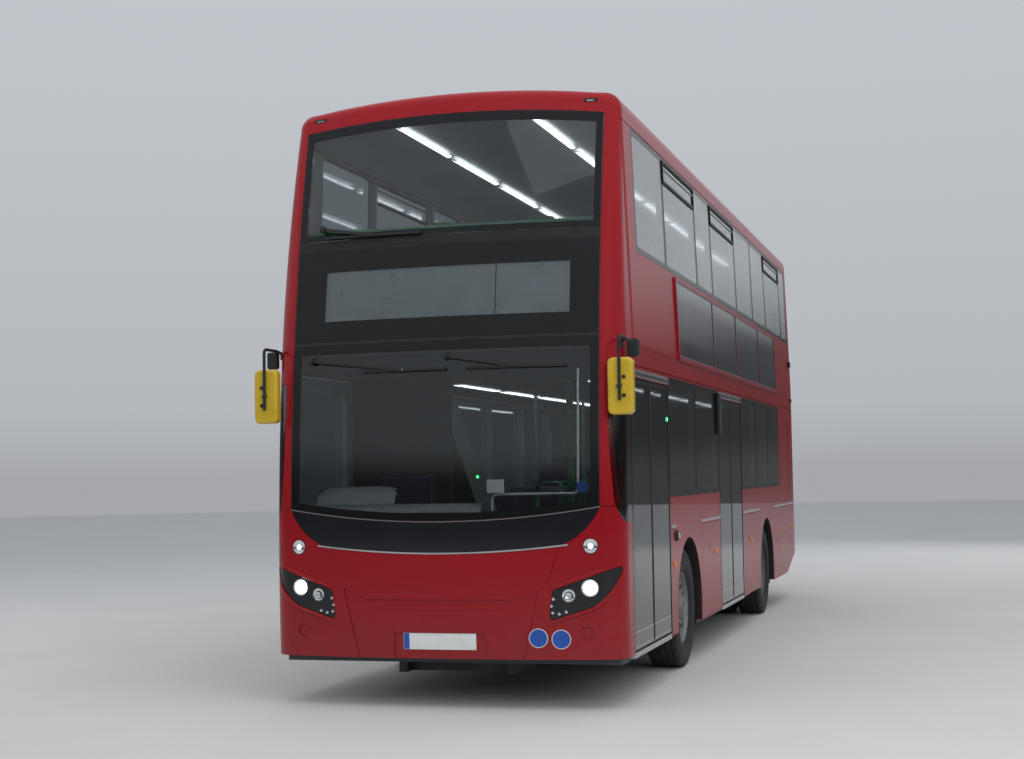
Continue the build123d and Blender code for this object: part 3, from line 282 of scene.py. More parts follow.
def glazing(name, tint, gloss=0.5):
    mat = finish(name, tint, 0.02, patch=1.2, vary=0.04, rough_vary=0.008, grain=1.6, bump=0.02, gloss=gloss)
    bsdf = mat.node_tree.nodes["Principled BSDF"]
    bsdf.inputs["Transmission Weight"].default_value = 1.0
    bsdf.inputs["IOR"].default_value = GLASS_IOR
    return mat


def glowing(name, colour, strength, scale=40):
    mat = finish(name, colour, 0.3, patch=scale, vary=0.1, grain=200, bump=0.02)
    bsdf = mat.node_tree.nodes["Principled BSDF"]
    bsdf.inputs["Emission Color"].default_value = (*colour, 1)
    bsdf.inputs["Emission Strength"].default_value = strength
    return mat


front_tint = glazing("front_tint", (0.60, 0.65, 0.66), gloss=0.2)
side_tint = glazing("side_tint", (0.30, 0.33, 0.34))
door_tint = glazing("door_tint", (0.22, 0.24, 0.25), gloss=0.2)
lens_clear = glazing("lens_clear", (0.9, 0.92, 0.93))
tube_light = glowing("tube_light", (0.95, 0.97, 1.0), 4.0)
lamp_light = glowing("lamp_light", (0.95, 0.98, 1.0), 6.0)
led_green = glowing("led_green", (0.05, 0.8, 0.2), 2.5)
print("with glass and lights", len(bpy.data.materials))

# %% [markdown]
# Seat cloth on a bus is moquette, a cut-pile cloth with a small repeated pattern. A wave
# texture and a fine noise give the rows of the pile, and a tilted brick texture gives the marks.

# %% Seat cloth
moquette = bpy.data.materials.new("moquette")
moquette.use_nodes = True
mt = moquette.node_tree
mb = mt.nodes["Principled BSDF"]
tilt = add(mt, "Mapping", Rotation=(math.radians(45), 0, 0))
mt.links.new(add(mt, "TexCoord").outputs["Object"], tilt.inputs["Vector"])
marks = add(mt, "TexBrick", Scale=30, Color1=(0.010, 0.018, 0.060, 1), Color2=(0.018, 0.030, 0.085, 1),
            Mortar=(0.10, 0.02, 0.05, 1), Mortar_Size=0.022)
rows = add(mt, "TexWave", Scale=130)
pile = add(mt, "TexNoise", Scale=700)
for node in (marks, rows, pile):
    mt.links.new(tilt.outputs["Vector"], node.inputs["Vector"])
nap = add(mt, "Bump", Strength=0.4, Distance=RELIEF)
nap_height = combined(mt, "ADD", rows.outputs["Fac"], pile.outputs["Fac"])
mt.links.new(nap_height.outputs["Value"], nap.inputs["Height"])
mt.links.new(nap.outputs["Normal"], mb.inputs["Normal"])
mt.links.new(marks.outputs["Color"], mb.inputs["Base Color"])
mb.inputs["Roughness"].default_value = 0.9
mb.inputs["Sheen Weight"].default_value = 0.3
print("moquette nodes", len(mt.nodes))

# %% [markdown]
# The frame's own nodes are dressed by their material slots. A few nodes share a slot but look
# different on the real bus, so a second table names them.

# %% Dress the frame's own nodes
LEAVES = [f"{door}_{end}" for door in ("front_door", "exit_door") for end in ("fore", "aft")]
BY_SLOT = {
    "body_red": red_paint, "black_gloss": black_gloss, "clear_glass": side_tint, "tyre": tyre_rubber,
    "wheel_steel": wheel_paint, "dark_metal": dark_steel, "bright_metal": bright_trim, "board": board_paint,
    "black_plastic": black_plastic, "grey_plastic": grey_plastic, "pale_trim": pale_trim,
    "floor": deck_rubber, "moquette": moquette, "mirror_yellow": yellow_gloss, "lamp": lamp_black,
    "lamp_red": red_lens, "rail_green": green_rail, "cast": cast_metal,
}
BY_NODE = {
    "front_glass": front_tint, "rear_lamps": lamp_black, "cab_wall": cab_grey, "front_bulkhead": cab_grey,
    "dashboard": cab_grey, "destination_box": cab_grey, **{leaf: black_gloss for leaf in LEAVES},
    **{f"{leaf}_glass": door_tint for leaf in LEAVES},
}
slot_of = {s["node"]: s["material_slot"] for s in frame["record"]["subparts"]}
for name, node in nodes.items():
    mat = BY_NODE.get(name, BY_SLOT[slot_of[name]])
    if not node.material_slots:
        node.data.materials.append(mat)
    for slot in node.material_slots:
        slot.material = mat
print("dressed", len(nodes))

floor_paint = finish("floor_paint", (0.50, 0.50, 0.49), 0.85, patch=0.6, vary=0.03, grain=30, bump=0.02)
studio_floor.data.materials.append(floor_paint)

# %% [markdown]
# The front of the body is one curved form. In plan it is a shallow bow with rounded corners,
# and that plan is swept back along a large arc. Trim, black borders and lamps have to lie on
# it, so a function gives the depth of the skin at any place, and pieces are laid on it. The
# measures of the body that several cells need stand here too.

# %% Skin of the body
HALF_WIDTH, FRONT_Y, REAR_Y = 1.275, -5.25, 5.25
BOW_R, RAKE_R, RAKE_Z, CORNER_R = 6.744, 12.7, 1.0, 0.185
WAIST_Z, ROOF_EDGE_X, ROOF_EDGE_Z = 2.5, 1.216, 4.262
WALL, FLOOR_Z, DECK_Z, SKIRT_Z = 0.055, 0.350, 2.400, 0.335
FRONT_AXLE_Y, REAR_AXLE_Y, TYRE_R, TRACK_X, TWIN_X = -2.6, 2.4, 0.478, 1.098, 0.782
DOORS = {"front_door": (-4.824, -3.440), "exit_door": (-0.900, 0.520)}
LEAN = (HALF_WIDTH - ROOF_EDGE_X) / (ROOF_EDGE_Z - WAIST_Z)
bow_y = FRONT_Y + BOW_R
corner_x = HALF_WIDTH - CORNER_R
corner_y = bow_y - math.sqrt((BOW_R - CORNER_R) ** 2 - corner_x ** 2)
turn_x = corner_x * BOW_R / (BOW_R - CORNER_R)


def front_skin(x, z, lift=0.0):
    """Point on the front skin at x and z, moved out by lift."""
    ax = abs(x)
    if ax < turn_x:
        plan_y = bow_y - math.sqrt(BOW_R ** 2 - ax ** 2)
    else:
        plan_y = corner_y - math.sqrt(max(0, CORNER_R ** 2 - (ax - corner_x) ** 2))
    hinge_y = FRONT_Y + RAKE_R
    reach = hinge_y - plan_y
    y = hinge_y - math.sqrt(reach ** 2 - (z - RAKE_Z) ** 2)
    return Vector((x, y - lift, z))


def side_skin(y, z, side=1, lift=0.0):
    """Point on the side skin at y and z; side is +1 on the nearside."""
    x = HALF_WIDTH - max(0, z - WAIST_Z) * LEAN
    return Vector((side * (x + lift), y, z))


def on_front(lift):
    return lambda x, z: front_skin(x, z, lift)


def on_side(side, lift):
    return lambda y, z: side_skin(y, z, side, lift)


print("skin at the plate", [round(v, 4) for v in front_skin(0, 0.46)])

# %% [markdown]
# A mesh here is a list of points and a list of faces, and a piece may join several meshes. A
# Solidify modifier gives a thin piece its real thickness, so its edge catches light.

# %% Piece helpers
SHARP_ANGLE = math.radians(32)
made = []


def quads(rows, count, closed=False, wrap=False, flip=False, first=0):
    """Faces between rows of points; closed joins each row's ends, wrap joins the last row to the first."""
    faces = []
    for k in range(rows if wrap else rows - 1):
        a, b = first + k * count, first + (k + 1) % rows * count
        for i in range(count if closed else count - 1):
            j = (i + 1) % count
            faces.append((a + i, b + i, b + j, a + j) if flip else (a + i, a + j, b + j, b + i))
    return faces


def joined(parts):
    verts, faces = [], []
    for v, f in parts:
        base = len(verts)
        verts += v
        faces += [tuple(base + i for i in face) for face in f]
    return verts, faces


def piece_from(name, parts, mat, body="body", thick=0.0, smooth=True, bevel=0.0):
    """One piece made of meshes, which rides on a body."""
    verts, faces = joined(parts)
    data = bpy.data.meshes.new(name)
    data.from_pydata([tuple(v) for v in verts], [], faces)
    data.materials.append(mat)
    obj = bpy.data.objects.new(name, data)
    bpy.context.collection.objects.link(obj)
    if thick:
        shell = obj.modifiers.new("thickness", "SOLIDIFY")
        shell.thickness, shell.offset = thick, 1
    if bevel:
        edge = obj.modifiers.new("edge", "BEVEL")
        edge.width, edge.segments, edge.limit_method = bevel, 2, "ANGLE"
    if smooth:
        data.shade_smooth()
        data.set_sharp_from_angle(angle=SHARP_ANGLE)
        if thick or bevel:
            obj.modifiers.new("even", "WEIGHTED_NORMAL").keep_sharp = True
    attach(obj, body)
    made.append(name)
    return obj


print("faces between three rows of four points", len(quads(3, 4)))

# %% [markdown]
# Most small pieces are sheets that follow the skin. A sheet is made as a grid, a ring or a disc
# of points in two dimensions, and each point is carried to the skin by the function that the
# call passes in.

# %% Sheets


def pairs(values):
    return list(zip(values, values[1:]))


def rounded_loop(u0, u1, v0, v1, r, per_corner=6, per_side=12):
    """Points round a rectangle with rounded corners, counter-clockwise."""
    loop = []
    corners = ((u1 - r, v0 + r, -90), (u1 - r, v1 - r, 0), (u0 + r, v1 - r, 90), (u0 + r, v0 + r, 180))
    for k, (cu, cv, start) in enumerate(corners):
        for i in range(per_corner + 1):
            a = math.radians(start + 90 * i / per_corner)
            loop.append((cu + r * math.cos(a), cv + r * math.sin(a)))
        nu, nv, ns = corners[(k + 1) % 4]
        a = math.radians(ns)
        end = (nu + r * math.cos(a), nv + r * math.sin(a))
        u, v = loop[-1]
        for i in range(1, per_side):
            t = i / per_side
            loop.append((u + (end[0] - u) * t, v + (end[1] - v) * t))
    return loop


def ring_mesh(outer, inner, to_skin):
    verts = [to_skin(u, v) for u, v in outer] + [to_skin(u, v) for u, v in inner]
    return verts, quads(2, len(outer), closed=True)


def grid_mesh(u0, u1, v0, v1, nu, nv, to_skin):
    verts = [to_skin(u0 + (u1 - u0) * i / nu, v0 + (v1 - v0) * j / nv)
             for j in range(nv + 1) for i in range(nu + 1)]
    return verts, quads(nv + 1, nu + 1)


def inset(u0, u1, v0, v1, by):
    """The box of a pane or a bay, made smaller all round."""
    return u0 + by, u1 - by, v0 + by, v1 - by


def stops(a, b, step, *edges):
    """Values from a to b about a step apart that include every edge."""
    out = [a]
    for lo, hi in pairs(sorted({a, b, *(e for e in edges if a < e < b)})):
        n = max(1, round((hi - lo) / step))
        out += [lo + (hi - lo) * i / n for i in range(1, n + 1)]
    return out


def pierced(us, vs, holes, to_skin):
    """A sheet over two rows of stops that leaves out the cells inside the holes."""
    w = len(us)
    verts = [to_skin(u, v) for v in vs for u in us]
    faces = []
    for j in range(len(vs) - 1):
        for i in range(w - 1):
            u, v = (us[i] + us[i + 1]) / 2, (vs[j] + vs[j + 1]) / 2
            if not any(a < u < b and c < v < d for a, b, c, d in holes):
                faces.append((j * w + i, j * w + i + 1, (j + 1) * w + i + 1, (j + 1) * w + i))
    return verts, faces


def disc_mesh(u, v, r, to_skin, rings=3, n=40):
    verts = [to_skin(u, v)]
    for k in range(1, rings + 1):
        verts += [to_skin(u + r * k / rings * c, v + r * k / rings * s) for c, s in around(n)]
    faces = [(0, 1 + i, 1 + (i + 1) % n) for i in range(n)]
    return verts, faces + quads(rings, n, closed=True, flip=True, first=1)


print("points of a rounded loop", len(rounded_loop(0, 1, 0, 1, 0.1)))

# %% [markdown]
# Lamps, wheels and caps are turned forms. The rest is made of plain bars and round rails.

# %% Turned forms, bars and rails


def turned_on(u, v, steps, at, n, flip=False):
    """A form turned about a place on a skin: each step is (radius, height), at gives a point."""
    verts = [at(u + r * c, v + r * s, h) for r, h in steps for c, s in around(n)]
    return verts, quads(len(steps), n, closed=True, flip=flip)


def lathe(profile, n, centre, cut=None):
    """Turns a profile about the X axis through centre; cut may lower a radius by angle step."""
    verts = []
    for k, (c, s) in enumerate(around(n)):
        for x, r in profile:
            rr = r - cut(k, x, r) if cut else r
            verts.append(centre + Vector((x, rr * c, rr * s)))
    return verts, quads(n, len(profile), wrap=True)


def bar(x0, x1, y0, y1, z0, z1):
    verts = [Vector((x, y, z)) for x in (x0, x1) for y in (y0, y1) for z in (z0, z1)]
    return verts, [(0, 1, 3, 2), (4, 6, 7, 5), (0, 4, 5, 1), (2, 3, 7, 6), (0, 2, 6, 4), (1, 5, 7, 3)]


def bent(points, radius, steps=6):
    """Rounds the corners of a route of points."""
    pts = [Vector(p) for p in points]
    out = [pts[0]]
    for a, b, c in zip(pts, pts[1:], pts[2:]):
        p0, p1 = b + (a - b).normalized() * radius, b + (c - b).normalized() * radius
        for i in range(steps + 1):
            t = i / steps
            out.append(p0 * (1 - t) ** 2 + b * 2 * t * (1 - t) + p1 * t ** 2)
    return out + [pts[-1]]


def tube(pts, r, n=12):
    """A round rail through points, with its joints mitred."""
    verts = []
    last = len(pts) - 1
    for k, p in enumerate(pts):
        ahead = (pts[k + 1] - p).normalized() if k < last else (p - pts[k - 1]).normalized()
        behind = (p - pts[k - 1]).normalized() if k else ahead
        along = (ahead + behind).normalized()
        grow = 1 / max(0.5, along.dot(ahead)) if 0 < k < last else 1
        helper = Vector((0, 0, 1)) if abs(along.z) < 0.9 else Vector((1, 0, 0))
        a = along.cross(helper).normalized()
        b = along.cross(a).normalized()
        verts += [p + r * (a * c + b * s) * grow for c, s in around(n)]
    caps = [tuple(range(n - 1, -1, -1)), tuple(range(last * n, (last + 1) * n))]
    return verts, quads(last + 1, n, closed=True) + caps


print("faces of a bar", len(bar(0, 1, 0, 1, 0, 1)[1]))

# %% [markdown]
# Bonded glass has a black fired border, which hides the glue and the metal behind. On the
# front each pane has one, and the middle pane is black all over apart from two openings for
# the blinds.

# %% Black borders of the front glass
GLASS_INSET, PANE_EDGE = 0.001, 0.006
FRIT_LIFT, FRIT_T = 0.0004 - GLASS_INSET, 0.0003
PANE_HALF, FRONT_CELL = 1.117, 0.045
UPPER_BORDER, SCREEN_BORDER = (0.052, 0.072), (0.060, 0.055)
CROWN_Z, CROWN_CORNER_Z = 4.172, 4.112
SILL_Z, SILL_CORNER_Z = 1.272, 1.362
UPPER_SILL_Z, SCREEN_TOP_Z, BLIND_PANE_Z = 3.276, 2.528, (2.532, 3.212)
UPPER_OPENING_Z, SCREEN_OPENING_Z = 3.325, 2.452
BLIND_X, BLIND_Z = (-0.875, 0.397, 0.402, 0.915), (2.688, 3.045)


def upper_crown(x):
    """Top edge of the upper pane: a shallow arc."""
    return CROWN_Z - (CROWN_Z - CROWN_CORNER_Z) * (x / PANE_HALF) ** 2


def screen_sill(x):
    """Bottom edge of the windscreen: a shallow arc."""
    return SILL_Z + (SILL_CORNER_Z - SILL_Z) * (x / PANE_HALF) ** 2


def bent_ring(half, half_in, bottom, bottom_in, top, top_in, lift, n=48):
    """Ring on the front between two outlines whose top and bottom edges are functions of x."""
    def loop(w, lo, hi):
        xs = [-w + 2 * w * i / n for i in range(n + 1)]
        return ([(x, lo(x)) for x in xs]
                + [(w, lo(w) + (hi(w) - lo(w)) * i / n) for i in range(1, n)]
                + [(x, hi(x)) for x in reversed(xs)]
                + [(-w, hi(-w) + (lo(-w) - hi(-w)) * i / n) for i in range(1, n)])
    return ring_mesh(loop(half, bottom, top), loop(half_in, bottom_in, top_in), on_front(lift))


upper_border = bent_ring(
    PANE_HALF - PANE_EDGE, PANE_HALF - UPPER_BORDER[0],
    lambda x: UPPER_SILL_Z + PANE_EDGE, lambda x: UPPER_OPENING_Z,
    lambda x: upper_crown(x) - PANE_EDGE, lambda x: upper_crown(x) - UPPER_BORDER[1], FRIT_LIFT)
screen_border = bent_ring(
    PANE_HALF - PANE_EDGE, PANE_HALF - SCREEN_BORDER[0],
    lambda x: screen_sill(x) + PANE_EDGE, lambda x: screen_sill(x) + SCREEN_BORDER[1],
    lambda x: SCREEN_TOP_Z - PANE_EDGE, lambda x: SCREEN_OPENING_Z, FRIT_LIFT)
blind_windows = [(*BLIND_X[:2], *BLIND_Z), (*BLIND_X[2:], *BLIND_Z)]
blind_border = pierced(
    stops(-PANE_HALF + PANE_EDGE, PANE_HALF - PANE_EDGE, FRONT_CELL, *BLIND_X),
    stops(BLIND_PANE_Z[0] + PANE_EDGE, BLIND_PANE_Z[1] - PANE_EDGE, FRONT_CELL, *BLIND_Z),
    blind_windows, on_front(FRIT_LIFT))
piece_from("front_borders", [upper_border, screen_border, blind_border], frit_black,
           thick=FRIT_T)
print("border top", round(upper_crown(0), 3))

# %% [markdown]
# The blinds are two grey cloth rolls, blank here, that hang close behind the middle pane. They glow faintly,
# a painted glow that brightens them behind the glass; no lamp lights them.

# %% Blank blinds
BLIND_LAP, BLIND_BACK = 0.01, 0.016
# painted glow: the blind cloth emits a little light of its own, so it reads brighter behind the dark glass
blind_cloth_painted_glow = glowing("blind_cloth_painted_glow", (0.17, 0.19, 0.20), 0.25, scale=5)
for i, window in enumerate(blind_windows):
    roll = grid_mesh(*inset(*window, -BLIND_LAP), 24, 6, on_front(-BLIND_BACK))
    piece_from(f"blind_{i}", [roll], blind_cloth_painted_glow, thick=0.0015)
print("blinds", len(blind_windows))

# %% [markdown]
# A bead of sealant fills the gap round each pane. Along the foot of the windscreen it is a grey
# moulding, and its pale grey is partly a painted highlight for the light that catches this joint.

# %% Seals of the front glass
SEAL_W, SEAL_LIFT, SEAL_LAP, SEAL_T = 0.0034, -0.0012, 0.001, 0.0006
FOOT_STEPS = 80


def pane_seal(bottom, top):
    return bent_ring(
        PANE_HALF + SEAL_W, PANE_HALF - SEAL_LAP,
        lambda x: bottom(x) - SEAL_W, lambda x: bottom(x) + SEAL_LAP,
        lambda x: top(x) + SEAL_W, lambda x: top(x) - SEAL_LAP, SEAL_LIFT)


rail_face = grid_mesh(
    -PANE_HALF - 0.002, PANE_HALF + 0.002, BLIND_PANE_Z[1] + SEAL_LAP, UPPER_SILL_Z - SEAL_LAP, 60, 2,
    on_front(SEAL_LIFT))
piece_from("front_seals", [
    pane_seal(lambda x: UPPER_SILL_Z, upper_crown),
    pane_seal(lambda x: BLIND_PANE_Z[0], lambda x: BLIND_PANE_Z[1]),
    pane_seal(screen_sill, lambda x: SCREEN_TOP_Z), rail_face], soft_rubber, thick=SEAL_T)
# The foot strip is a real moulding; its pale grey is partly a painted highlight, the light caught along the
# joint under the windscreen.
foot_x = [-PANE_HALF + 2 * PANE_HALF * i / FOOT_STEPS for i in range(FOOT_STEPS + 1)]
foot_verts = [front_skin(x, screen_sill(x) + dz, 0.0006) for dz in (-0.0055, 0.0015) for x in foot_x]
piece_from("screen_foot_painted_highlight", [(foot_verts, quads(2, len(foot_x)))], grey_trim, thick=0.0012)
print("pieces so far", len(made))

# %% [markdown]
# Side windows are bonded too. Each pane gets a border ring on the outside, and the joints
# between panes stay as thin dark gaps.

# %% Black borders of the side glass
LOWER_Z, UPPER_Z, CAB_Z = (1.390, 2.312), (3.168, 4.066), (1.230, 2.250)
UPPER = (-4.400, -3.235, -1.752, -0.892, 0.638, 1.850, 2.950, 4.430, 5.040)
WINDOW_ROWS = {
    1: (((-3.412, -2.180, -0.932), LOWER_Z), ((0.552, 1.640, 2.640, 3.650), LOWER_Z), (UPPER, UPPER_Z)),
    -1: (((-1.060, 0.140, 1.340, 2.540, 3.650), LOWER_Z), ((-4.790, -3.780), CAB_Z), (UPPER, UPPER_Z)),
}
PANE_GAP, FRIT_W = 0.008, 0.040
panes = {side: [(a, b, *z) for row, z in rows for a, b in pairs(row)] for side, rows in WINDOW_ROWS.items()}


def side_ring(y0, y1, z0, z1, side):
    g = PANE_GAP / 2 + 0.003
    outer = rounded_loop(y0 + g, y1 - g, z0 + 0.003, z1 - 0.003, 0.012)
    inner = rounded_loop(*inset(y0, y1, z0, z1, FRIT_W), 0.045)
    return ring_mesh(outer, inner, on_side(side, FRIT_LIFT))


side_rings = [side_ring(*pane, side) for side in panes for pane in panes[side]]
piece_from("side_borders", side_rings, frit_black, thick=FRIT_T)
print("side panes", len(side_rings))

# %% [markdown]
# The same sealant runs round each row of side panes and fills the joints between them.

# %% Seals of the side glass


def row_seal(joints, z0, z1, side):
    to_skin = on_side(side, SEAL_LIFT)
    g = PANE_GAP / 2
    frame_ring = ring_mesh(rounded_loop(joints[0], joints[-1], z0 - SEAL_W, z1 + SEAL_W, 0.002),
                           rounded_loop(joints[0] + g, joints[-1] - g, z0, z1, 0.001), to_skin)
    return [frame_ring] + [grid_mesh(y - g, y + g, z0, z1, 1, 6, to_skin) for y in joints[1:-1]]


for side, word in SIDES:
    seals = [part for row, z in WINDOW_ROWS[side] for part in row_seal(row, *z, side)]
    piece_from(f"seals_{word}", seals, soft_rubber, thick=SEAL_T * side)
print("seals on the last side", len(seals))

# %% [markdown]
# Tyres are lathed from a profile and then given their tread: shallow grooves round the
# circumference and cross cuts on the shoulders. The real tread is only a few millimetres
# deep, so it is cut into the same profile and not added on top.

# %% Tyres
TYRE_HALF_W, RIM_R, TYRE_STEPS = 0.1375, 0.286, 144
WALL_CURVE = ((0.034, 0.004), (0.016, 0.020), (0.004, 0.052), (0.001, 0.080), (0, 0.098), (0.002, 0.130),
              (0.007, 0.160))
SHOULDER_CURVE = ((0.016, 0.012), (0.022, 0.004))
GROOVES, GROOVE_DEPTH = (-0.082, -0.028, 0.028, 0.082), 0.011
SHOULDER_X, CUT_DEPTH, CUT_EVERY = 0.088, 0.007, 4


def tyre_profile():
    """Half-section from bead to bead: (across, radius)."""
    wall = [(-TYRE_HALF_W + x, RIM_R + r) for x, r in WALL_CURVE]
    wall += [(-TYRE_HALF_W + x, TYRE_R - r) for x, r in SHOULDER_CURVE]
    tread = []
    for g in GROOVES:
        tread += [(g - 0.007, TYRE_R), (g - 0.005, TYRE_R - GROOVE_DEPTH), (g + 0.005, TYRE_R - GROOVE_DEPTH),
                  (g + 0.007, TYRE_R)]
    return wall + tread + [(-x, r) for x, r in reversed(wall)]


def shoulder_cut(k, x, r):
    """Every fourth step drops the shoulders by the depth of a cross cut."""
    on_shoulder = abs(x) > SHOULDER_X and r > TYRE_R - 0.006
    return CUT_DEPTH if on_shoulder and k % CUT_EVERY == 0 else 0.0


WHEELS = {"front": (FRONT_AXLE_Y, [TRACK_X]), "rear": (REAR_AXLE_Y, [TWIN_X, TRACK_X])}
for end, (y, xs) in WHEELS.items():
    for side, word in SIDES:
        tyres = [lathe(tyre_profile(), TYRE_STEPS, Vector((side * x, y, TYRE_R)), shoulder_cut) for x in xs]
        tread = piece_from(f"tread_{end}_{word}", tyres, tyre_rubber, body=f"wheel_{end}_{word}")
        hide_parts(f"tyre_{end}_{word}")
print("faces of a twin tyre", len(tread.data.polygons))

# %% [markdown]
# Wheel nuts stand in a ring round the hub, and a cap closes its middle.

# %% Wheel nuts and hub caps
NUT_COUNT, NUT_PITCH_R = 10, 0.1675
NUT_R, NUT_FOOT, NUT_TOP, STUD_R, STUD_TOP = 0.017, -0.002, 0.026, 0.010, 0.036
TWIN_MIDDLE = (TRACK_X + TWIN_X) / 2
HUBS = {"front": (FRONT_AXLE_Y, TRACK_X + 0.066, 0.060, TRACK_X + 0.122),
        "rear": (REAR_AXLE_Y, TWIN_MIDDLE + 0.014, 0.094, TWIN_MIDDLE + 0.124)}


def prism(cy, cz, r, x0, x1, n=6):
    """A prism along X."""
    verts = [Vector((x, cy + r * c, cz + r * s)) for x in (x0, x1) for c, s in around(n)]
    caps = [tuple(range(n)), tuple(range(2 * n - 1, n - 1, -1))]
    return verts, caps + quads(2, n, closed=True)


for end, (y, face_x, cap_r, cap_x) in HUBS.items():
    for side, word in SIDES:
        parts = []
        for c, s in around(NUT_COUNT):
            at = (y + NUT_PITCH_R * c, TYRE_R + NUT_PITCH_R * s)
            foot, top, tip = (side * (face_x + dx) for dx in (NUT_FOOT, NUT_TOP, STUD_TOP))
            parts += [prism(*at, NUT_R, foot, top), prism(*at, STUD_R, top, tip, 10)]
        cap = ((cap_x - 0.004, cap_r), (cap_x + 0.006, cap_r), (cap_x + 0.010, cap_r - 0.008),
               (cap_x + 0.011, 0.001))
        parts.append(lathe([(side * x, r) for x, r in cap], 40, Vector((0, y, TYRE_R))))
        piece_from(f"nuts_{end}_{word}", parts, nut_steel, body=f"wheel_{end}_{word}")
print("nuts on a wheel", NUT_COUNT)

# %% [markdown]
# The headlamp pod is a black pocket under a clear cover. Inside it the main lamp and the
# smaller projector are stepped rings round a lens, and a row of small lights follows the edge.
# Each lamp is given by its place and by steps of radius and height.

# %% Headlamps
POD_LIFT = -0.004
MAIN_AT, PROJECTOR_AT, ROUND_AT = (1.044, 0.818), (0.901, 0.768), (1.053, 1.098)
SMALL_AT = ((0.797, 0.747), (0.783, 0.700), (0.791, 0.655), (0.835, 0.647), (0.882, 0.660))
MAIN_RING = ((0.059, 0), (0.058, 0.004), (0.052, 0.004), (0.047, 0.0005))
MAIN_LENS = ((0.046, 0.001), (0.040, 0.004), (0.02, 0.006))
PROJECTOR_RING = ((0.044, 0), (0.043, 0.004), (0.038, 0.004), (0.030, 0.0005))
PROJECTOR_LENS = ((0.029, 0.001), (0.022, 0.005), (0.008, 0.007))
ROUND_RING = ((0.050, 0), (0.049, 0.003), (0.044, 0.003), (0.040, 0.001))
ROUND_BULB = ((0.016, 0.001), (0.012, 0.004), (0.005, 0.005))
SMALL_LIGHT = ((0.011, 0), (0.010, 0.003), (0.004, 0.004))
LAMP_PIECES = (
    ("lamp_rings", POD_LIFT, chrome, ((MAIN_AT, MAIN_RING), (PROJECTOR_AT, PROJECTOR_RING))),
    ("main_lens", POD_LIFT, lamp_light, ((MAIN_AT, MAIN_LENS),)),
    ("small_lights", POD_LIFT, chrome, tuple((at, SMALL_LIGHT) for at in SMALL_AT)),
    ("projector", POD_LIFT, lens_clear, ((PROJECTOR_AT, PROJECTOR_LENS),)),
    ("round_lamp", 0, chrome, ((ROUND_AT, ROUND_RING),)),
    ("round_bulb", 0, lamp_light, ((ROUND_AT, ROUND_BULB),)),
)


def lamp_rings(x, z, steps, lift, n=40):
    """A lamp on the front as turned rings, closed by a flat middle."""
    verts, faces = turned_on(x, z, steps, lambda u, v, h: front_skin(u, v, lift + h), n)
    return verts, faces + [tuple(range((len(steps) - 1) * n, len(steps) * n))]


for side, word in SIDES:
    for part, lift, mat, units in LAMP_PIECES:
        lamps = [lamp_rings(side * x, z, steps, lift) for (x, z), steps in units]
        piece_from(f"{part}_{word}", lamps, mat)
print("lamp pieces on each side", len(LAMP_PIECES))

# %% [markdown]
# A rounded lip stands round each lamp pocket and dies away at the corner of the body. A soft
# fold of the same kind runs down each front pillar.

# %% Lips and folds
POCKET_UNDER, POCKET_TOP = ((0.773, 0.584), (1.064, 0.675)), ((0.775, 0.812), (1.175, 0.953))
POCKET_CORNER = ((1.064, 0.675), (1.1945, 0.7935), (1.232, 0.852))
PILLAR_FOLD = ((1.129, 2.95), (1.178, 4.03))
LIP_HALF, LIP_BASE, UNDER_HEIGHT, TOP_HEIGHT = 0.013, 0.0045, 0.0095, 0.0080
BEAD_HALF_STEPS = 3


def arc_through(a, b, c, n=14):
    """Points on the circle from a through b to c."""
    (ax, az), (bx, bz), (cx, cz) = a, b, c
    d = 2 * (ax * (bz - cz) + bx * (cz - az) + cx * (az - bz))
    sa, sb, sc = (u * u + v * v for u, v in (a, b, c))
    ox = (sa * (bz - cz) + sb * (cz - az) + sc * (az - bz)) / d
    oz = (sa * (cx - bx) + sb * (ax - cx) + sc * (bx - ax)) / d
    t0, t1 = math.atan2(az - oz, ax - ox), math.atan2(cz - oz, cx - ox)
    r = math.hypot(ax - ox, az - oz)
    angles = [t0 + (t1 - t0) * i / n for i in range(n + 1)]
    return [(ox + r * math.cos(t), oz + r * math.sin(t)) for t in angles]


def straight(a, b, n=12):
    return [(a[0] + (b[0] - a[0]) * i / n, a[1] + (b[1] - a[1]) * i / n) for i in range(n + 1)]


def bead(route, half_w, base, height, side):
    """A low rounded ridge along a route in x and z that fades at both ends."""
    verts = []
    last = len(route) - 1
    across = range(2 * BEAD_HALF_STEPS + 1)
    for k, (x, z) in enumerate(route):
        (px, pz), (qx, qz) = route[max(k - 1, 0)], route[min(k + 1, last)]
        run = math.hypot(qx - px, qz - pz)
        nx, nz = -(qz - pz) / run, (qx - px) / run
        fade = min(1, 4 * k / last + 0.08, 4 * (last - k) / last + 0.08)
        for j in across:
            t = j / BEAD_HALF_STEPS - 1
            lift = base + height * fade * (1 - t * t)
            verts.append(front_skin(side * (x + nx * half_w * t * fade), z + nz * half_w * t * fade, lift))
    return verts, quads(len(route), len(across))


for side, word in SIDES:
    under = straight(*POCKET_UNDER)[:-1] + arc_through(*POCKET_CORNER)
    lips = [bead(under, LIP_HALF, LIP_BASE, UNDER_HEIGHT, side),
            bead(straight(*POCKET_TOP), LIP_HALF, LIP_BASE, TOP_HEIGHT, side)]
    piece_from(f"lamp_lips_{word}", lips, red_paint)
    fold = bead(straight(*PILLAR_FOLD, 24), 0.010, 0.0, 0.0035, side)
    piece_from(f"pillar_fold_{word}", [fold], red_paint)
print("points of a lip", len(lips[0][0]))

# %% [markdown]
# The number plate is blank, on its shallow recess, and two plain round stickers sit beside it.

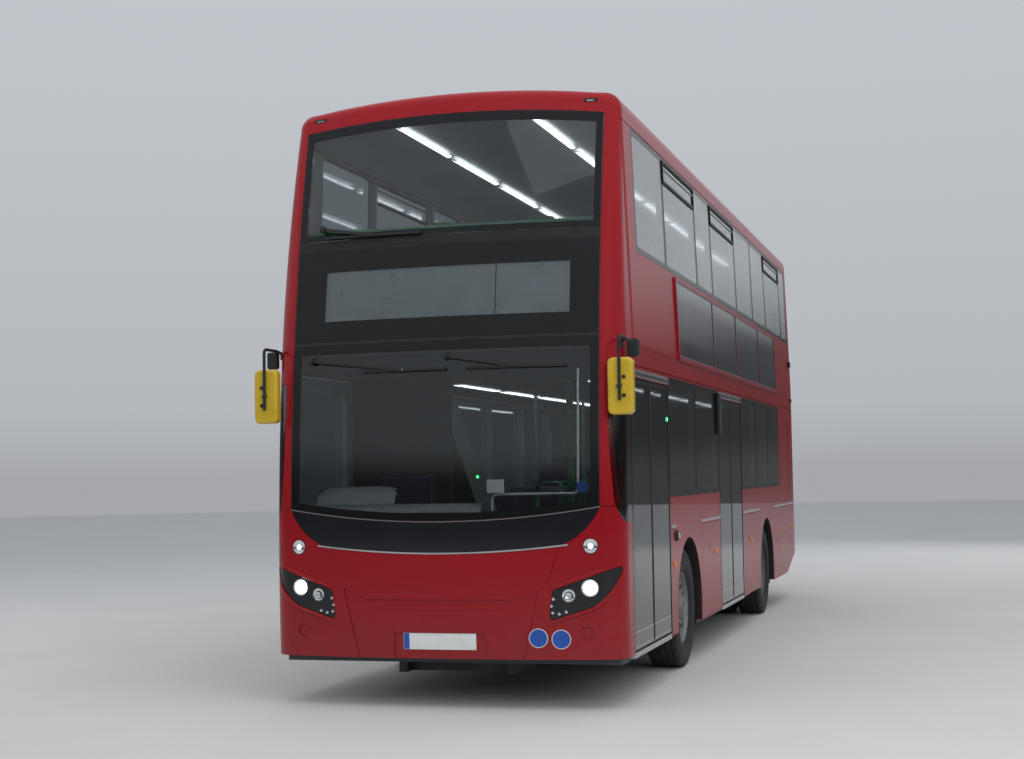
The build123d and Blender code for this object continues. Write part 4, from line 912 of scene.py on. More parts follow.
# %% Plate and stickers
PLATE_Z, PLATE_W, PLATE_H, PLATE_T = 0.458, 0.52, 0.111, 0.003
PLATE_LIFT = -0.014 + 0.002
BAND_W, BAND_EDGE = 0.040, 0.002
STICKERS, STICKER_R, STICKER_RIM_R = ((0.691, 0.485), (0.845, 0.477)), 0.060, 0.065
plate = grid_mesh(-PLATE_W / 2, PLATE_W / 2, PLATE_Z - PLATE_H / 2, PLATE_Z + PLATE_H / 2, 12, 2,
                  on_front(PLATE_LIFT))
band = grid_mesh(-PLATE_W / 2 + BAND_EDGE, -PLATE_W / 2 + BAND_EDGE + BAND_W,
                 PLATE_Z - PLATE_H / 2 + BAND_EDGE, PLATE_Z + PLATE_H / 2 - BAND_EDGE, 2, 2,
                 on_front(PLATE_LIFT + PLATE_T + 0.0003))
piece_from("front_plate", [plate], plate_white, thick=PLATE_T)
piece_from("plate_band", [band], sign_blue, thick=0.0003)
for i, (x, z) in enumerate(STICKERS):
    piece_from(f"sticker_rim_{i}", [disc_mesh(x, z, STICKER_RIM_R, on_front(0.0005))], plate_white)
    piece_from(f"sticker_{i}", [disc_mesh(x, z, STICKER_R, on_front(0.0011))], sign_blue)
print("pieces so far", len(made))

# %% [markdown]
# A bright line runs under the black panel.

# %% Bright line
PANEL_FOOT_Z, PANEL_SHOULDER = 1.056, (0.840, 1.102)
LINE_HALF, LINE_STEPS = 0.90, 60


def panel_bottom(x):
    """Lower edge of the black panel between its shoulders: a shallow arc."""
    return PANEL_FOOT_Z + (PANEL_SHOULDER[1] - PANEL_FOOT_Z) * (x / PANEL_SHOULDER[0]) ** 2


line_x = [-LINE_HALF + 2 * LINE_HALF * i / LINE_STEPS for i in range(LINE_STEPS + 1)]
line_verts = [front_skin(x, panel_bottom(x) + dz, 0.002) for dz in (-0.006, 0.004) for x in line_x]
piece_from("bright_line", [(line_verts, quads(2, len(line_x)))], bright_trim, thick=0.003)
print("line ends at", round(panel_bottom(LINE_HALF), 3))

# %% [markdown]
# Doors. Each leaf is black, with glass almost from top to bottom. Where two leaves meet they
# carry a fat rubber seal, and a rail runs down the inside.

# %% Door leaves
LEAF_X0, LEAF_X1, LEAF_Z = 1.236, 1.272, (0.365, 2.238)
LEAD_GAP, RAIL_FROM_SEAM, RAIL_Z, RAIL_IN, RAIL_R = 0.004, 0.120, (0.75, 1.75), 0.055, 0.014
for door, (y0, y1) in DOORS.items():
    for end, way in (("fore", 1), ("aft", -1)):
        leaf = f"{door}_{end}"
        seam = (y0 + y1) / 2 - way * LEAD_GAP
        seal = bar(LEAF_X0 - 0.006, LEAF_X0 - 0.0002, *sorted((seam, seam - way * 0.030)),
                   LEAF_Z[0] + 0.02, LEAF_Z[1] - 0.02)
        face_seal = bar(LEAF_X1 + 0.0002, LEAF_X1 + 0.0022, *sorted((seam, seam - way * 0.018)),
                        LEAF_Z[0] + 0.01, LEAF_Z[1] - 0.01)
        piece_from(f"{leaf}_seal", [seal, face_seal], soft_rubber, body=leaf, bevel=0.0015)
        rail_y = seam - way * RAIL_FROM_SEAM
        route = [(x, rail_y, z) for x, z in ((LEAF_X0 + 0.004, RAIL_Z[0]), (LEAF_X0 - RAIL_IN, RAIL_Z[0]),
                                             (LEAF_X0 - RAIL_IN, RAIL_Z[1]), (LEAF_X0 + 0.004, RAIL_Z[1]))]
        piece_from(f"{leaf}_rail", [tube(bent(route, 0.04), RAIL_R)], green_rail, body=leaf)
print("leaves", len(LEAVES))

# %% [markdown]
# Two bright strips cap the kick panel of each leaf, and a lit green button sits on the aft leaf
# of the front door.

# %% Leaf trim
STRIP_Z, STRIP_HALF = (0.488, 0.385), 0.005
BUTTON = ((0.0004, 0.016), (0.005, 0.015), (0.007, 0.009), (0.0075, 0.001))
BUTTON_AT = (LEAF_X1, -3.470, 1.985)


def leaf_strip(y0, y1, z):
    """A strip with a rounded face along the foot of a leaf."""
    return grid_mesh(y0, y1, z - STRIP_HALF, z + STRIP_HALF, 6, 2, lambda y, v: Vector(
        (LEAF_X1 + 0.0004 + 0.0014 * (1 - ((v - z) / STRIP_HALF) ** 2), y, v)))


for door, (y0, y1) in DOORS.items():
    mid = (y0 + y1) / 2
    for end, ya, yb in (("fore", y0 + 0.030, mid - 0.024), ("aft", mid + 0.024, y1 - 0.030)):
        strips = [leaf_strip(ya, yb, z) for z in STRIP_Z]
        piece_from(f"{door}_{end}_strips", strips, bright_trim, body=f"{door}_{end}")
button = lathe(BUTTON, 24, Vector(BUTTON_AT))
piece_from("door_button", [button], led_green, body="front_door_aft")
print("pieces so far", len(made))

# %% [markdown]
# The door posts and the lip over each door are black. A black box with a camera stands at the
# front top corner of the exit door.

# %% Door surrounds
POST_Z, POST_X, POST_W = (0.37, 2.30), (HALF_WIDTH - 0.020, HALF_WIDTH + 0.0015), 0.026
LIP = ((0.009, 2.262), (0.016, 2.270), (0.016, 2.282), (0.009, 2.290))
LIP_FACES = [(0, 1, 5, 4), (1, 2, 6, 5), (2, 3, 7, 6), (0, 3, 2, 1), (4, 5, 6, 7)]
EXIT_BOX = (HALF_WIDTH + 0.0003, HALF_WIDTH + 0.034, -1.035, -0.935, 1.915, 2.290)
EYE, EYE_AT = ((0.006, 0.001), (0.0055, 0.010), (0.001, 0.017), (0, 0.018)), (EXIT_BOX[1], -0.985, 1.975)
for door, (y0, y1) in DOORS.items():
    posts = [bar(*POST_X, y1 + 0.0005, y1 + POST_W, *POST_Z)]
    if door == "exit_door":
        posts.append(bar(*POST_X, y0 - POST_W, y0 - 0.0005, *POST_Z))
    piece_from(f"{door}_posts", posts, black_gloss, bevel=0.001)
    lip_verts = [Vector((HALF_WIDTH + x, y, z)) for y in (y0 + 0.03, y1) for x, z in LIP]
    piece_from(f"{door}_lip", [(lip_verts, LIP_FACES)], black_plastic, bevel=0.001)
piece_from("exit_door_box", [bar(*EXIT_BOX)], black_plastic, bevel=0.010)
piece_from("exit_door_eye", [lathe(EYE, 24, Vector(EYE_AT))], lens_clear)
print("pieces so far", len(made))

# %% [markdown]
# The cut edges of the body are dark: a liner runs round each wheel arch just inside its lip,
# and a thin black facing covers the jambs of the doors. The front door has none at its fore
# edge, where it meets the corner of the body.

# %% Arch liners and door jambs
ARCH_R, ARCH_STEPS, LINER_SCALE = 0.570, 40, 0.9985
JAMB_T, JAMB_Z = 0.0006, (0.352, 2.243)
half_turn = [i * math.pi / ARCH_STEPS for i in range(ARCH_STEPS + 1)]
arch_line = [(-ARCH_R * math.cos(a), TYRE_R + ARCH_R * math.sin(a)) for a in half_turn]
arch_line = [(-ARCH_R, SKIRT_Z), *arch_line, (ARCH_R, SKIRT_Z)]


def arch_liner(axle_y, side):
    verts = [Vector((side * x, axle_y + dy * LINER_SCALE, TYRE_R + (z - TYRE_R) * LINER_SCALE))
             for x in (HALF_WIDTH - WALL + 0.001, HALF_WIDTH - 0.006) for dy, z in arch_line]
    return verts, quads(2, len(arch_line))


for side, word in SIDES:
    liners = [arch_liner(y, side) for y in (FRONT_AXLE_Y, REAR_AXLE_Y)]
    piece_from(f"arch_liners_{word}", liners, soft_rubber, thick=0.0015 * side)
jamb_y = [y for y0, y1 in DOORS.values() for y in (y0 + 0.0002, y1 - 0.0008)][1:]
jambs = [bar(HALF_WIDTH - WALL, HALF_WIDTH - 0.0005, y, y + JAMB_T, *JAMB_Z) for y in jamb_y]
piece_from("door_jambs", jambs, black_plastic, smooth=False)
print("jambs", len(jambs))

# %% [markdown]
# Opening windows. Three of the upper panes on each side have a hopper at the top: a narrow
# glass of its own in a black frame. The frame stands a few millimetres off the pane.

# %% Hopper windows
HOPPER_Y = ((-3.215, -1.770), (-0.872, 0.618), (2.970, 4.410))
HOPPER_Z, HOPPER_W = (3.858, 4.046), 0.026
HINGE_Z = (HOPPER_Z[1] - 0.070, HOPPER_Z[1] - 0.058)
for side, word in SIDES:
    rings = [ring_mesh(rounded_loop(y0, y1, *HOPPER_Z, 0.02),
                       rounded_loop(*inset(y0, y1, *HOPPER_Z, HOPPER_W), 0.012), on_side(side, 0.0))
             for y0, y1 in HOPPER_Y]
    piece_from(f"hoppers_{word}", rings, black_plastic, thick=0.009 * side)
    hinges = [grid_mesh(y0 + 0.02, y1 - 0.02, *HINGE_Z, 4, 1, on_side(side, 0.001)) for y0, y1 in HOPPER_Y]
    piece_from(f"hopper_hinges_{word}", hinges, bright_trim, thick=0.004 * side)
print("hoppers on a side", len(HOPPER_Y))

# %% [markdown]
# Poster boards. Each bay of the long frame holds one dark, glossy sheet, left plain here.

# %% Poster sheets
ADVERT_Y, ADVERT_Z, BAR_Y = (-2.940, 3.500), (2.470, 3.148), (-1.090, 0.370, 2.060)
BAR_HALF, BORDER, SHEET_GAP = 0.014, 0.034, 0.004
SHEET_LIFT, SHEET_T, CLAMP_LIFT, CLAMP_T = 0.0125, -0.0080, 0.0140, 0.0012
poster = finish("poster", (0.020, 0.022, 0.026), 0.16, patch=1.6, vary=0.35, rough_vary=0.06, grain=12,
                bump=0.01, coat=0.5)
bay_edges = [ADVERT_Y[0] + BORDER, *(e for y in BAR_Y for e in (y - BAR_HALF, y + BAR_HALF)),
             ADVERT_Y[1] - BORDER]
bays = [(a, b, ADVERT_Z[0] + BORDER, ADVERT_Z[1] - BORDER) for a, b in zip(bay_edges[::2], bay_edges[1::2])]
for side, word in SIDES:
    sheets = [grid_mesh(*inset(*bay, SHEET_GAP), 6, 4, on_side(side, SHEET_LIFT)) for bay in bays]
    piece_from(f"posters_{word}", sheets, poster, thick=SHEET_T * side)
    clamps = [ring_mesh(rounded_loop(*inset(*bay, 0.001), 0.01), rounded_loop(*inset(*bay, 0.009), 0.008),
                        on_side(side, CLAMP_LIFT)) for bay in bays]
    piece_from(f"poster_clamps_{word}", clamps, grey_trim, thick=CLAMP_T * side)
print("poster bays", len(bays))

# %% [markdown]
# Lines where panels meet are real gaps of a few millimetres. Each is drawn as a thin dark
# strip on the skin, and a rub rail runs along both sides below the windows.

# %% Panel joints and rub rails
RUB_Z, RUB_HALF, JOINT_W, JOINT_LIFT = 1.160, 0.010, 0.004, 0.0003
SKIRT, FULL, TAIL = (0.34, 1.38), (0.34, 2.32), (0.50, 2.32)
SEAM_Z, BOARD_JOINT = (RUB_Z - 0.026, RUB_Z - 0.022), (-4.650, 5.080, 2.470 - JOINT_W, 2.470)
RUNS = {1: ((-3.410, -3.180), (-2.020, -0.930), (0.552, 1.790), (3.010, 5.090)),
        -1: ((-4.800, -3.190), (-2.010, 1.790), (3.010, 5.090))}
UPRIGHTS = {
    1: ((-3.405, SKIRT), (-1.960, SKIRT), (-0.945, SKIRT), (0.700, SKIRT), (1.700, SKIRT), (3.100, SKIRT),
        (3.700, TAIL), (4.640, TAIL)),
    -1: ((-3.740, FULL), (-1.960, SKIRT), (-1.100, FULL), (0.300, SKIRT), (1.700, SKIRT), (3.100, SKIRT),
         (3.700, TAIL), (4.640, TAIL)),
}
gap_black = finish("gap_black", (0.006, 0.005, 0.005), 0.8, patch=20, vary=0.2, grain=200, bump=0.05)


def rub_rail(y0, y1, side):
    """A strip with a rounded face."""
    return grid_mesh(y0 + 0.01, y1 - 0.01, RUB_Z - RUB_HALF, RUB_Z + RUB_HALF, 1, 4, lambda y, z: side_skin(
        y, z, side, 0.004 * math.cos((z - RUB_Z) / RUB_HALF * math.pi / 2)))


for side, word in SIDES:
    lines = [(y, y + JOINT_W, *z) for y, z in UPRIGHTS[side]]
    lines += [(*run, *SEAM_Z) for run in RUNS[side]] + [BOARD_JOINT]
    strips = [grid_mesh(*line, 1, 1, on_side(side, JOINT_LIFT)) for line in lines]
    piece_from(f"joints_{word}", strips, gap_black, smooth=False)
    rails = [rub_rail(a, b, side) for a, b in RUNS[side]]
    piece_from(f"rub_rails_{word}", rails, bright_trim, thick=0.0008 * side)
print("joints on the last side", len(lines))

# %% [markdown]
# Small lamps, reflectors and caps along the sides are low domes on the skin.

# %% Side lamps
MARKER_Y, MARKER_Z, MARKER_R = (-3.270, -1.240, 1.120, 3.560, 4.860), 0.87, 0.028
REPEATER, REPEATER_LENS = (-3.190, 1.085, 0.045), (-3.182, 1.085, 0.026)
CAPS = ((-1.560, 0.93, 0.020), (0.94, 0.89, 0.030), (3.4, 0.75, 0.02))


def side_button(y, z, r, side, height):
    """A low dome on the side skin."""
    steps = ((r, 0.0), (r * 0.94, height * 0.6), (r * 0.6, height), (r * 0.05, height * 1.1))
    return turned_on(y, z, steps, lambda u, v, h: side_skin(u, v, side, h + 0.0002), 24)


for side, word in SIDES:
    markers = [side_button(y, MARKER_Z, MARKER_R, side, 0.010) for y in MARKER_Y]
    piece_from(f"side_markers_{word}", markers, amber_lens)
    housing = side_button(*REPEATER, side, 0.022)
    piece_from(f"side_repeater_{word}", [housing], black_plastic)
    piece_from(f"side_repeater_lens_{word}", [side_button(*REPEATER_LENS, side, 0.030)], chrome)
    caps = [side_button(*cap, side, 0.003) for cap in CAPS]
    piece_from(f"side_caps_{word}", caps, red_paint)
print("markers on a side", len(MARKER_Y))

# %% [markdown]
# Towards the rear the nearside carries a narrow dark red panel, a small camera and a dark dome.

# %% Rear side trim
DARK_STRIP, DOME = (4.648, 4.676, 1.200, 2.200), (5.000, 2.440, 0.034)
SIDE_CAMERA = (1.2628, 1.2900, 4.965, 5.035, 2.860, 2.935)
dark_strip = grid_mesh(*DARK_STRIP, 1, 8, on_side(1, 0.0005))
piece_from("side_dark_strip", [dark_strip], board_paint, thick=0.0015)
piece_from("side_camera", [bar(*SIDE_CAMERA)], black_plastic, bevel=0.008)
piece_from("side_dome", [side_button(*DOME, 1, 0.020)], lamp_black)
print("pieces so far", len(made))

# %% [markdown]
# The rear was not photographed, so it only gets what every bus has: panel joints, lamps with
# their lenses set in a dark housing, two reflectors and a high stop lamp. Two grips are on the
# engine cover.

# %% Rear details
REAR_CORNER_R, UNIT_LIFT, LINE_LIFT, LINE_W = 0.130, 0.0043, 0.0004, 0.004
LAMP_X, HIGH_LAMP = 1.085, (-0.16, 0.16, 3.085, 3.120)
UNIT_RIM = ((0.061, 0), (0.060, 0.004), (0.054, 0.004), (0.052, 0))
UNIT_LENS = ((0.051, 0.001), (0.048, 0.004), (0.030, 0.007), (0.006, 0.008))
UNITS = ((1.545, "amber"), (1.400, "red"), (1.255, "red"), (1.110, "clear"))
LENSES = {"amber": amber_lens, "red": red_lens, "clear": lens_clear}
REFLECTOR_HALF, REFLECTOR_Z = 0.045, (0.810, 1.000)
REAR_SEAM_X, REAR_SEAM_Z, REAR_CROSS_HALF, REAR_CROSS_Z = 0.962, (0.56, 3.020), 1.135, (1.990, 3.020)
GRIP_X, GRIP_W, GRIP_Z, GRIP_OUT = (-0.62, 0.48), 0.14, 0.735, 0.030


def rear_skin(x, z, lift=0.0):
    """Point on the upright rear skin at x and z."""
    over = max(0, abs(x) - (HALF_WIDTH - REAR_CORNER_R))
    return Vector((x, REAR_Y - REAR_CORNER_R + math.sqrt(REAR_CORNER_R ** 2 - over ** 2) + lift, z))


def on_rear(lift):
    return lambda x, z: rear_skin(x, z, lift)


def rear_unit(x, z, steps, n=28):
    """A round lamp on the rear, closed by a flat middle."""
    verts, faces = turned_on(x, z, steps, lambda u, v, h: rear_skin(u, v, UNIT_LIFT + h), n, flip=True)
    return verts, faces + [tuple(range(len(steps) * n - 1, (len(steps) - 1) * n - 1, -1))]


for side, word in SIDES:
    x = side * LAMP_X
    piece_from(f"tail_rims_{word}", [rear_unit(x, z, UNIT_RIM) for z, _ in UNITS], chrome)
    for colour, mat in LENSES.items():
        lenses = [rear_unit(x, z, UNIT_LENS) for z, lens in UNITS if lens == colour]
        piece_from(f"tail_{colour}_{word}", lenses, mat)
    reflector = grid_mesh(x - REFLECTOR_HALF, x + REFLECTOR_HALF, *REFLECTOR_Z, 4, 4, on_rear(0.0045))
    piece_from(f"tail_reflector_{word}", [reflector], red_lens, thick=-0.003)
high_lamp = grid_mesh(*HIGH_LAMP, 8, 2, on_rear(LINE_LIFT))
piece_from("high_stop_lamp", [high_lamp], red_lens, thick=-0.012)
rear_lines = [grid_mesh(x - LINE_W / 2, x + LINE_W / 2, *REAR_SEAM_Z, 1, 1, on_rear(LINE_LIFT))
              for x in (-REAR_SEAM_X, REAR_SEAM_X)]
rear_lines += [grid_mesh(-REAR_CROSS_HALF, REAR_CROSS_HALF, z - LINE_W / 2, z + LINE_W / 2, 30, 1,
                         on_rear(LINE_LIFT)) for z in REAR_CROSS_Z]
piece_from("rear_joints", rear_lines, gap_black, smooth=False)
grips = [tube(bent([rear_skin(x + dx, GRIP_Z, lift) for dx, lift in (
    (0, -0.001), (0, GRIP_OUT), (GRIP_W, GRIP_OUT), (GRIP_W, -0.001))], 0.016, 4), 0.008) for x in GRIP_X]
piece_from("cover_grips", grips, black_plastic, body="engine_cover")
print("lamp units on a side", len(UNITS))

# %% [markdown]
# The roof is made of cross panels, whose joints are sealed flush.

# %% Roof joints
ROOF_TOP, ROOF_R, ROOF_SEAM_X = 4.340, 9.518, 1.085
ROOF_SEAM_Y = (-3.95, -2.45, -0.95, 0.55, 2.05, 3.55, 4.90)
roof_sealant = finish("roof_sealant", (0.16, 0.012, 0.016), 0.6, patch=6, vary=0.2, grain=120, bump=0.08)


def on_roof(x, y):
    return Vector((x, y, ROOF_TOP - ROOF_R + math.sqrt(ROOF_R ** 2 - x * x) + LINE_LIFT))


roof_lines = [grid_mesh(-ROOF_SEAM_X, ROOF_SEAM_X, y - 0.006, y + 0.006, 40, 1, on_roof) for y in ROOF_SEAM_Y]
roof_lines += [grid_mesh(x - 0.004, x + 0.004, ROOF_SEAM_Y[0], ROOF_SEAM_Y[-1], 1, 40, on_roof)
               for x in (-ROOF_SEAM_X, ROOF_SEAM_X)]
piece_from("roof_joints", roof_lines, roof_sealant, smooth=False)
print("roof joints", len(roof_lines))

# %% [markdown]
# Roof edge lamps: two small slots in the dome at the top corners of the front.

# %% Dome marker lamps
SLOT_X, SLOT_Z, SLOT_LENS_Z = (0.975, 1.070), (4.196, 4.222), (4.202, 4.216)
for side, word in SIDES:
    x0, x1 = sorted(side * x for x in SLOT_X)
    slot_mesh = grid_mesh(x0, x1, *SLOT_Z, 8, 2, on_front(0.001))
    piece_from(f"dome_slot_{word}", [slot_mesh], lamp_black, thick=0.002)
    lens = grid_mesh(x0 + 0.02, x1 - 0.02, *SLOT_LENS_Z, 6, 2, on_front(0.0032))
    piece_from(f"dome_lens_{word}", [lens], lens_clear, thick=0.003)
print("pieces so far", len(made))

# %% [markdown]
# Ceilings. Both decks have rows of bright light strips, and the upper deck has a pale ceiling
# panel, which is what one sees through the upper windscreen.

# %% Ceilings and light strips
UPPER_CEILING_Z, LOWER_CEILING_Z = 4.205, 2.332
CEILING_Y, CEILING_HALF, CEILING_SAG = (-4.62, 5.05), 1.158, 0.150
LIGHT_PITCH, TUBE_HALF, TUBE_SAG = 1.36, 0.026, 0.012
UPPER_TUBES, LOWER_TUBES = (-4.45, 1.18, 7), (-2.95, 1.15, 5)


def tubes(x, half, start, length, count, height):
    """A row of light strips; height gives the height at a distance from the middle line."""
    return [grid_mesh(x - half, x + half, y, y + length, 4, 2, lambda u, v: Vector((u, v, height(u - x))))
            for y in (start + i * LIGHT_PITCH for i in range(count))]


ceiling = grid_mesh(-CEILING_HALF, CEILING_HALF, *CEILING_Y, 40, 8, lambda x, y: Vector(
    (x, y, UPPER_CEILING_Z - CEILING_SAG * (x / CEILING_HALF) ** 8)))
piece_from("upper_ceiling", [ceiling], pale_trim, thick=0.004)
for k, x in enumerate((-0.52, 0.52)):
    high_row = tubes(x, TUBE_HALF, *UPPER_TUBES,
                     lambda d: UPPER_CEILING_Z - 0.022 - TUBE_SAG * (1 - (d / TUBE_HALF) ** 2))
    piece_from(f"upper_light_{k}", high_row, tube_light, thick=0.002)
    low_row = tubes(x * 1.1, 0.04, *LOWER_TUBES, lambda d: LOWER_CEILING_Z - 0.006)
    piece_from(f"lower_light_{k}", low_row, tube_light, thick=0.002)
print("light strips in a row", len(high_row), len(low_row))

# %% [markdown]
# Inside, the walls are lined with pale panels that leave the windows and the doors open. The
# panels are squared off round each wheel housing, and a fitted piece fills the corners there.

# %% Inner linings
LINING, LINING_LAP, LINING_CELL = -0.0565, 0.036, 0.4
WELL_R, WELL_HALF, WELL_TOP = 0.586, 0.650, 1.080
LOWER_FOOT, RAISED_FOOT, RAISED_Y = 0.355, 0.605, (1.290, 4.080)
UPPER_LINING, LOWER_LINING = (-4.640, 5.080, 2.410, 4.060), (-4.815, 4.070, LOWER_FOOT, 2.330)
DOOR_HOLE_TOP, BELOW_ALL = 2.27, 0.3


def pane_holes(side, lower):
    """The openings behind the panes of one deck, a little smaller than the panes."""
    return [inset(*pane, LINING_LAP) for pane in panes[side] if (pane[2] < WAIST_Z) == lower]


def lined(y0, y1, z0, z1, holes, to_wall):
    ys = stops(y0, y1, LINING_CELL, *(e for h in holes for e in h[:2]))
    zs = stops(z0, z1, LINING_CELL, *(e for h in holes for e in h[2:]))
    return pierced(ys, zs, holes, to_wall)


def well_corners(axle_y, foot, to_wall):
    """What a squared opening leaves round a wheel housing, down to the foot."""
    low = math.asin(max(0, (foot - TYRE_R) / WELL_R))
    turn = math.atan2(WELL_TOP - TYRE_R, WELL_HALF)
    arch, edge = [], []
    for a in stops(low, math.pi - low, 0.12, turn, math.pi - turn):
        c, s = math.cos(a), math.sin(a)
        reach = min(WELL_HALF / max(abs(c), 1e-6), (WELL_TOP - TYRE_R) / max(s, 1e-6))
        arch.append((axle_y + WELL_R * c, TYRE_R + WELL_R * s))
        edge.append((axle_y + reach * c, TYRE_R + reach * s))
    if foot < TYRE_R:
        arch = [(axle_y + WELL_R, foot)] + arch + [(axle_y - WELL_R, foot)]
        edge = [(axle_y + WELL_HALF, foot)] + edge + [(axle_y - WELL_HALF, foot)]
    else:
        edge[0], edge[-1] = (axle_y + WELL_HALF, foot), (axle_y - WELL_HALF, foot)
    return [to_wall(y, z) for y, z in arch + edge], quads(2, len(arch), flip=True)


for side, word in SIDES:
    to_wall = on_side(side, LINING)
    holes = pane_holes(side, lower=True) + [(*RAISED_Y, BELOW_ALL, RAISED_FOOT)]
    holes += [(y - WELL_HALF, y + WELL_HALF, BELOW_ALL, WELL_TOP) for y in (FRONT_AXLE_Y, REAR_AXLE_Y)]
    if side > 0:
        holes += [(y0 - 0.002, y1 + 0.002, BELOW_ALL, DOOR_HOLE_TOP) for y0, y1 in DOORS.values()]
    parts = [lined(*UPPER_LINING, pane_holes(side, lower=False), to_wall),
             lined(*LOWER_LINING, holes, to_wall),
             well_corners(FRONT_AXLE_Y, LOWER_FOOT, to_wall), well_corners(REAR_AXLE_Y, RAISED_FOOT, to_wall)]
    piece_from(f"lining_{word}", parts, lining_grey, thick=0.002 * side)
print("openings in the last lining", len(holes))

# %% [markdown]
# A moulded reveal turns each lining panel in towards the glass, right round the opening.

# %% Window reveals
REVEAL_LAP, REVEAL_R, REVEAL_END = 0.034 + 0.0006, 0.045, -0.0085


def reveal(y0, y1, z0, z1, side):
    loop = rounded_loop(*inset(y0, y1, z0, z1, REVEAL_LAP), REVEAL_R, 6, 6)
    verts = [side_skin(y, z, side, depth) for depth in (LINING - 0.001, REVEAL_END) for y, z in loop]
    return verts, quads(2, len(loop), closed=True)


for side, word in SIDES:
    reveals = [reveal(*pane, side) for pane in panes[side]]
    piece_from(f"reveals_{word}", reveals, lining_grey, thick=-0.0012 * side)
print("reveals on the last side", len(reveals))

# %% [markdown]
# Seats. A bus seat is a thin plastic shell with two separate pads per person, covered with
# moquette. One base pad and one back pad are blown up as cloth under pressure, and every seat
# then gets a copy of their shape, so that the simulation is run twice and not a hundred times.

# %% Blown pads
SEAT_W, PAD_CAP, PAD_SEGMENTS, PRESSURE, SIM_STEPS = 0.420, 0.012, 8, 4.0, 20
BASE_PAD, BACK_PAD = (SEAT_W, 0.350, 0.050), (SEAT_W, 0.560, 0.040)


def applied(obj):
    """Fixes an object's modifiers into its mesh."""
    graph = bpy.context.evaluated_depsgraph_get()
    mesh = bpy.data.meshes.new_from_object(obj.evaluated_get(graph))
    obj.modifiers.clear()
    obj.data = mesh
    return obj


def pad_blank(name, size, voxel):
    """A box with its long edges drawn in at mid length, remeshed into even cells."""
    w, d, t = size
    n = PAD_SEGMENTS + 1
    bm = bmesh.new()
    bmesh.ops.create_grid(bm, x_segments=PAD_SEGMENTS, y_segments=PAD_SEGMENTS, size=0.5)
    flat = [v.co.copy() for v in bm.verts]
    bm.free()
    verts = []
    for sign in (-1, 1):
        for co in flat:
            u, v = abs(2 * co.x), abs(2 * co.y)
            pull = 1 - 0.05 * (1 - u ** 2) * v ** 3 - 0.04 * (1 - v ** 2) * u ** 3
            verts.append(Vector((co.x * w * pull, co.y * d * pull, sign * t / 2)))
    upper = quads(n, n, first=n * n)
    lower = [tuple(reversed(f)) for f in quads(n, n)]
    rim = ([i for i in range(n)] + [j * n + n - 1 for j in range(1, n)]
           + [(n - 1) * n + i for i in range(n - 2, -1, -1)] + [j * n for j in range(n - 2, 0, -1)])
    walls = [(a, b, b + n * n, a + n * n) for a, b in zip(rim, rim[1:] + rim[:1])]
    data = bpy.data.meshes.new(name)
    data.from_pydata([tuple(v) for v in verts], [], lower + upper + walls)
    blank = bpy.data.objects.new(name, data)
    bpy.context.collection.objects.link(blank)
    cells = blank.modifiers.new("cells", "REMESH")
    cells.mode, cells.voxel_size = "VOXEL", voxel
    return applied(blank)


def blown(name, size, voxel):
    """Mesh of a pad after 20 steps of cloth under pressure, with its swelling capped."""
    pad = pad_blank(name, size, voxel)
    rest = [v.co.copy() for v in pad.data.vertices]
    cloth = pad.modifiers.new("blow", "CLOTH")
    cloth.settings.use_pressure = True
    cloth.settings.uniform_pressure_force = PRESSURE
    cloth.settings.effector_weights.gravity = 0
    for step in range(1, SIM_STEPS + 1):
        bpy.context.scene.frame_set(step)
    applied(pad)
    bpy.context.scene.frame_set(1)
    verts = []
    for start, v in zip(rest, pad.data.vertices):
        move = v.co - start
        verts.append(start + move * min(1, PAD_CAP / max(move.length, 1e-9)))
    faces = [tuple(p.vertices) for p in pad.data.polygons]
    bpy.data.objects.remove(pad)
    return verts, faces


base_pad = blown("base_pad_blank", BASE_PAD, 0.026)
back_pad = blown("back_pad_blank", BACK_PAD, 0.030)
print("pad faces", len(base_pad[1]), len(back_pad[1]))

# %% [markdown]
# The rows follow the windows. Over the stair there is no room for seats, and the short rows
# beside the wheel housings stand on them without a pedestal of their own.

# %% Seats on both decks
SEAT_Z, BASE_TILT, SEAT_BACK_LEAN = 0.400, math.radians(1.5), math.atan2(0.070, 0.638)
PLACE_X, SHELL_HALF, RAIL_X = 0.215, 0.212, 0.427
BASE_AT, BACK_AT, PEDESTAL_HALF = (-0.052, 0.038), (0.150, 0.392), (0.30, 0.11)
GRAB_RAIL = ((0, 0.22, 0.45), (0, 0.232, 0.745), (0.20, 0.232, 0.745), (0.20, 0.228, 0.67))
UPPER_ROWS, UPPER_SEAT_X, LOWER_SEAT_X = [-4.050 + i * 0.738 for i in range(13)], 0.728, 0.770
STAIR_X, STAIR_Y = (-1.205, -0.560), (-3.250, -1.200)
LOWER_ROWS = (("both", 1.620, 0.600, True), ("both", 2.360, 0.6623, False), ("both", 3.150, 0.600, True),
              ("both", 3.770, 0.600, True), ("near", 0.985, 0.350, True), ("off", -0.660, 0.350, True),
              ("off", 0.090, 0.350, True), ("off", 0.840, 0.350, True))
SHELL_SECTION = ((-0.236, 0.030), (-0.238, 0.008), (-0.226, 0), (0.196, 0), (0.212, 0.03), (0.262, 0.60),
                 (0.262, 0.680), (0.246, 0.698), (0.212, 0.696), (0.196, 0.66), (0.186, 0.60), (0.138, 0.085),
                 (0.120, 0.018), (-0.20, 0.012))


def placed(mesh, place, angle):
    """A mesh turned about X and moved to a place."""
    matrix = Matrix.Translation(place) @ Matrix.Rotation(angle, 4, "X")
    return [matrix @ v for v in mesh[0]], mesh[1]


